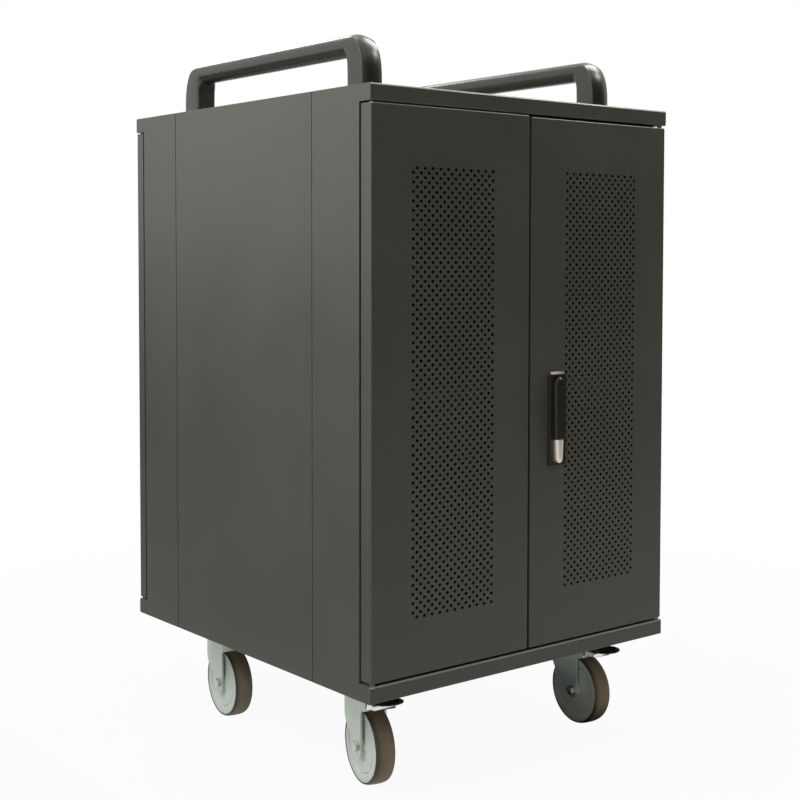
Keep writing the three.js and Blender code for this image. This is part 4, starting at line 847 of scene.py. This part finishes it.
for name, side_x, side_y, turn, braked, press in CASTERS:
    spot = caster_place(side_x, side_y, turn)
    pivot = Matrix.Translation((0, *PEDAL_PIVOT))
    pressed = spot @ pivot @ Matrix.Rotation(math.radians(press), 4, "X") @ pivot.inverted()
    make_piece(name + "_tread", placed(tyre(), spot @ WHEEL_AXIS), name + "_wheel", tyre_rubber,
               [name + "_tyre"], smooth=50)
    make_piece(name + "_wheel_centre", placed(wheel_core(), spot @ WHEEL_AXIS), name + "_wheel",
               core_plastic, [name + "_wheel_core"], smooth=28)
    shell = make_piece(name + "_pressed_fork", placed(fork_shell(braked), spot), name + "_caster",
                       fork_zinc, [name + "_fork"], smooth=40, closed=False)
    thicken(shell, FORK_SHEET)
    soften(shell, 0.7, angle=50)
    soften(make_piece(name + "_fork_crown", placed(fork_crown(braked), spot), name + "_caster",
                      fork_zinc), 0.8)
    if braked:
        soften(make_piece(name + "_foot_pad", placed(pedal_pad(), pressed), name + "_pedal",
                          pedal_nylon, [name + "_brake_pedal"]), 0.4, angle=50)
        soften(make_piece(name + "_brake_tab", placed(pedal_tab(), pressed), name + "_pedal",
                          tab_steel, smooth=50), 0.4, angle=50)
    dress(name + "_caster_plate", fork_zinc, 0.6)
    dress(name + "_axle", bright_steel, 0.6)


# Keepers

def keeper_cup(bar):
    """Closed cup under the slot of the base tray that takes the end of a bar."""
    low, high = corners(bar)
    middle = ((low.x + high.x) / 2, (low.y + high.y) / 2)
    half = ((high.x - low.x) / 2, (high.y - low.y) / 2)
    top, bottom = corners("base_tray")[1].z - SHEET, low.z - BAR_TRAVEL - CUP_CLEARANCE
    outer = CUP_GAP + CUP_WALL
    rows = ((outer, bottom - CUP_FLOOR), (outer, top), (CUP_GAP, top), (CUP_GAP, bottom))
    rings = [[(x, y, z) for x, y in oblong(*middle, half[0] + room, half[1] + room)] for room, z in rows]
    return lofted(rings)


keeper_cups = joined(keeper_cup("left_door_lower_bolt"), keeper_cup("lower_lock_rod"))
soften(make_piece("base_keepers", keeper_cups, "cabinet", dull_steel), 0.3)


# Pieces that keep their CAD shape

PIVOT_PINS = [f"{door}_{end}_pin" for door in ("left_door", "right_door", "rear_door")
              for end in ("lower", "upper")]
# Finish, width of the rounded edges, and the nodes
CAD_SHAPES = [
    (cabinet_paint, 1.1, ["top_cap", "base_tray"]),
    (cabinet_paint, 0.45, ["front_left_post", "front_right_post", "rear_left_post", "rear_right_post",
                           "left_side_panel", "right_side_panel", "partition", "mid_shelf", "rear_door"]),
    (rack_abs, 0.8, ["lower_rack", "upper_rack"]),
    (strip_plastic, 0.8, ["lower_power_strip", "upper_power_strip", "power_inlet"]),
    (bright_steel, 0.4, ["rear_lock_barrel", "rear_lock_cam"]),
    (dull_steel, 0.4, ["lock_spindle", "upper_lock_rod", "lower_lock_rod", "left_door_upper_bolt",
                       "left_door_lower_bolt"]),
    (key_nickel, 0.4, ["key_plug"]),
    (dull_steel, 0.4, PIVOT_PINS),
]
for material, edge, names in CAD_SHAPES:
    for node in names:
        dress(node, material, edge)


# Camera at the photograph's place, worked out from the cabinet's straight edges

VIEW_SIZE = 800
FOCAL_PIXELS = 1406.5
VIEW_CENTRE = (389.263, 323.9)
SENSOR = 36
CAMERA_PLACE = (-1.60782, -2.01809 + CENTRE_Y * MM, 0.84253)
CAMERA_ANGLES = (38.388, 2.667, 0.0515)
VIEW_DEPTH = 60
yaw, pitch, roll = (math.radians(angle) for angle in CAMERA_ANGLES)
ahead = Vector((math.sin(yaw) * math.cos(pitch), math.cos(yaw) * math.cos(pitch), -math.sin(pitch)))
level = Vector((math.cos(yaw), -math.sin(yaw), 0))
above = level.cross(ahead)
right = level * math.cos(roll) + above * math.sin(roll)
above = above * math.cos(roll) - level * math.sin(roll)
camera = bpy.data.objects.new("camera", bpy.data.cameras.new("camera"))
bpy.context.scene.collection.objects.link(camera)
camera.matrix_world = Matrix.Translation(CAMERA_PLACE) @ Matrix((right, above, -ahead)).transposed().to_4x4()
camera.data.sensor_width = SENSOR
camera.data.lens = FOCAL_PIXELS / VIEW_SIZE * SENSOR
camera.data.shift_x = (VIEW_SIZE / 2 - VIEW_CENTRE[0]) / VIEW_SIZE
camera.data.shift_y = (VIEW_CENTRE[1] - VIEW_SIZE / 2) / VIEW_SIZE
camera.data.clip_end = VIEW_DEPTH
bpy.context.scene.camera = camera


# Floor, lights and background

def seen_ray(tree):
    """1 for the rays that show the white studio: camera, mirror and glass rays."""
    path = add_node(tree, "ShaderNodeLightPath", {})
    mirror = add_node(tree, "ShaderNodeMath", {
        0: path.outputs["Is Glossy Ray"], 1: path.outputs["Is Transmission Ray"]}, operation="MAXIMUM")
    return add_node(tree, "ShaderNodeMath", {
        0: path.outputs["Is Camera Ray"], 1: mirror.outputs["Value"]}, operation="MAXIMUM").outputs["Value"]


def white_floor():
    """Matt white board that keeps a light shadow and otherwise runs into the white background."""
    material = bpy.data.materials.new("matt_white_board")
    material.use_nodes = True
    tree = material.node_tree
    tree.nodes.clear()
    board = add_node(tree, "ShaderNodeBsdfDiffuse", {"Color": linear("C0C0BE")})
    glow = add_node(tree, "ShaderNodeEmission", {"Color": linear("FFFFFF"), "Strength": 1.0})
    spot = add_node(tree, "ShaderNodeNewGeometry", {}).outputs["Position"]
    away = add_node(tree, "ShaderNodeVectorMath", {0: spot}, operation="LENGTH").outputs["Value"]
    white = add_node(tree, "ShaderNodeMapRange", {
        "Value": away, "From Min": 0.6, "From Max": 2.2, "To Min": 0.95, "To Max": 1.0},
        interpolation_type="SMOOTHSTEP").outputs["Result"]
    share = add_node(tree, "ShaderNodeMath", {0: seen_ray(tree), 1: white}, operation="MULTIPLY")
    both = add_node(tree, "ShaderNodeMixShader", {
        0: share.outputs["Value"], 1: board.outputs["BSDF"], 2: glow.outputs["Emission"]})
    add_node(tree, "ShaderNodeOutputMaterial", {"Surface": both.outputs["Shader"]})
    return material


def flat_sheet(name, size, matrix, material):
    """Sheet of the studio with a width and a height in metres."""
    mesh = bpy.data.meshes.new(name)
    gathered = bmesh.new()
    bmesh.ops.create_grid(gathered, x_segments=4, y_segments=4, size=0.5)
    bmesh.ops.scale(gathered, vec=(*size, 1), verts=gathered.verts)
    gathered.to_mesh(mesh)
    gathered.free()
    mesh.materials.append(material)
    piece = bpy.data.objects.new(name, mesh)
    piece.matrix_world = matrix
    bpy.context.scene.collection.objects.link(piece)
    return piece


def black_flag(name, place, facing, size):
    """Black cloth beside or under the cart, hidden from the camera, that darkens what the paint mirrors."""
    turn = Vector(facing).to_track_quat("Z", "Y").to_matrix().to_4x4()
    flag = flat_sheet(name, size, Matrix.Translation(place) @ turn, felt)
    flag.visible_camera = False
    return flag


FLOOR_SIZE = (30, 30)
flat_sheet("floor", FLOOR_SIZE, Matrix.Identity(4), white_floor())
# Felted wool: black, with no sheen.
felt = finish("black_felt", ("0C0C0C", "121212"), 60, (0.9, 1.0), 3, 0.2, shine=0.1)
black_flag("front_flag", (1.25, -2.4, 1.4), (-0.62, 0.78, 0), (3.2, 2.7))
# The cloth under the cart is painted shade: it stands in for the shaded floor there in reflections and bounce
# light, and casts no shadow.
for name, place, size in (("shade_cloth_under_cart", (0.2, 0, 0.003), (0.62, 0.7)),
                          ("left_cloth", (-0.95, 0.5, 0.003), (0.7, 1.3))):
    black_flag(name, place, (0, 0, 1), size).visible_shadow = False
black_flag("rear_flag", (-1.45, 1.3, 0.42), (0.62, -0.78, 0), (2.6, 0.84))

world = bpy.data.worlds.new("studio")
bpy.context.scene.world = world
world.use_nodes = True
tree = world.node_tree
tree.nodes.clear()
fill_light = add_node(tree, "ShaderNodeBackground", {"Color": linear("F4F4F2"), "Strength": 0.3})
backdrop = add_node(tree, "ShaderNodeBackground", {"Color": linear("FFFFFF"), "Strength": 1.0})
either = add_node(tree, "ShaderNodeMixShader", {
    0: seen_ray(tree), 1: fill_light.outputs["Background"], 2: backdrop.outputs["Background"]})
add_node(tree, "ShaderNodeOutputWorld", {"Surface": either.outputs["Shader"]})


def soft_light(name, place, target, size, power, colour="FFFFFF"):
    """Softbox aimed at a target, with its size in metres and its power in watts."""
    lamp = bpy.data.lights.new(name, "AREA")
    lamp.shape = "RECTANGLE"
    lamp.size, lamp.size_y = size
    lamp.energy = power
    lamp.color = linear(colour)[:3]
    light = bpy.data.objects.new(name, lamp)
    light.location = place
    light.rotation_euler = (Vector(target) - Vector(place)).to_track_quat("-Z", "Y").to_euler()
    bpy.context.scene.collection.objects.link(light)


soft_light("overhead_softbox", (-0.3, 0.3, 3.0), (0, 0, 0.6), (1.2, 1.2), 18)
soft_light("left_softbox", (-1.6, 0.0, 1.9), (-0.33, 0, 0.66), (0.9, 0.9), 33, "F5F9FF")
soft_light("right_softbox", (1.5, -0.2, 2.9), (0.3, 0, 0.9), (1.2, 1.2), 40)
soft_light("rear_softbox", (0.4, 2.4, 2.7), (0, 0, 1.1), (0.9, 0.9), 20)
soft_light("front_softbox", (1.9, -1.35, 2.6), (0.2, -0.36, 0.7), (0.7, 0.5), 12.5, "FFF2E4")

bpy.context.scene.view_settings.view_transform = "Standard"
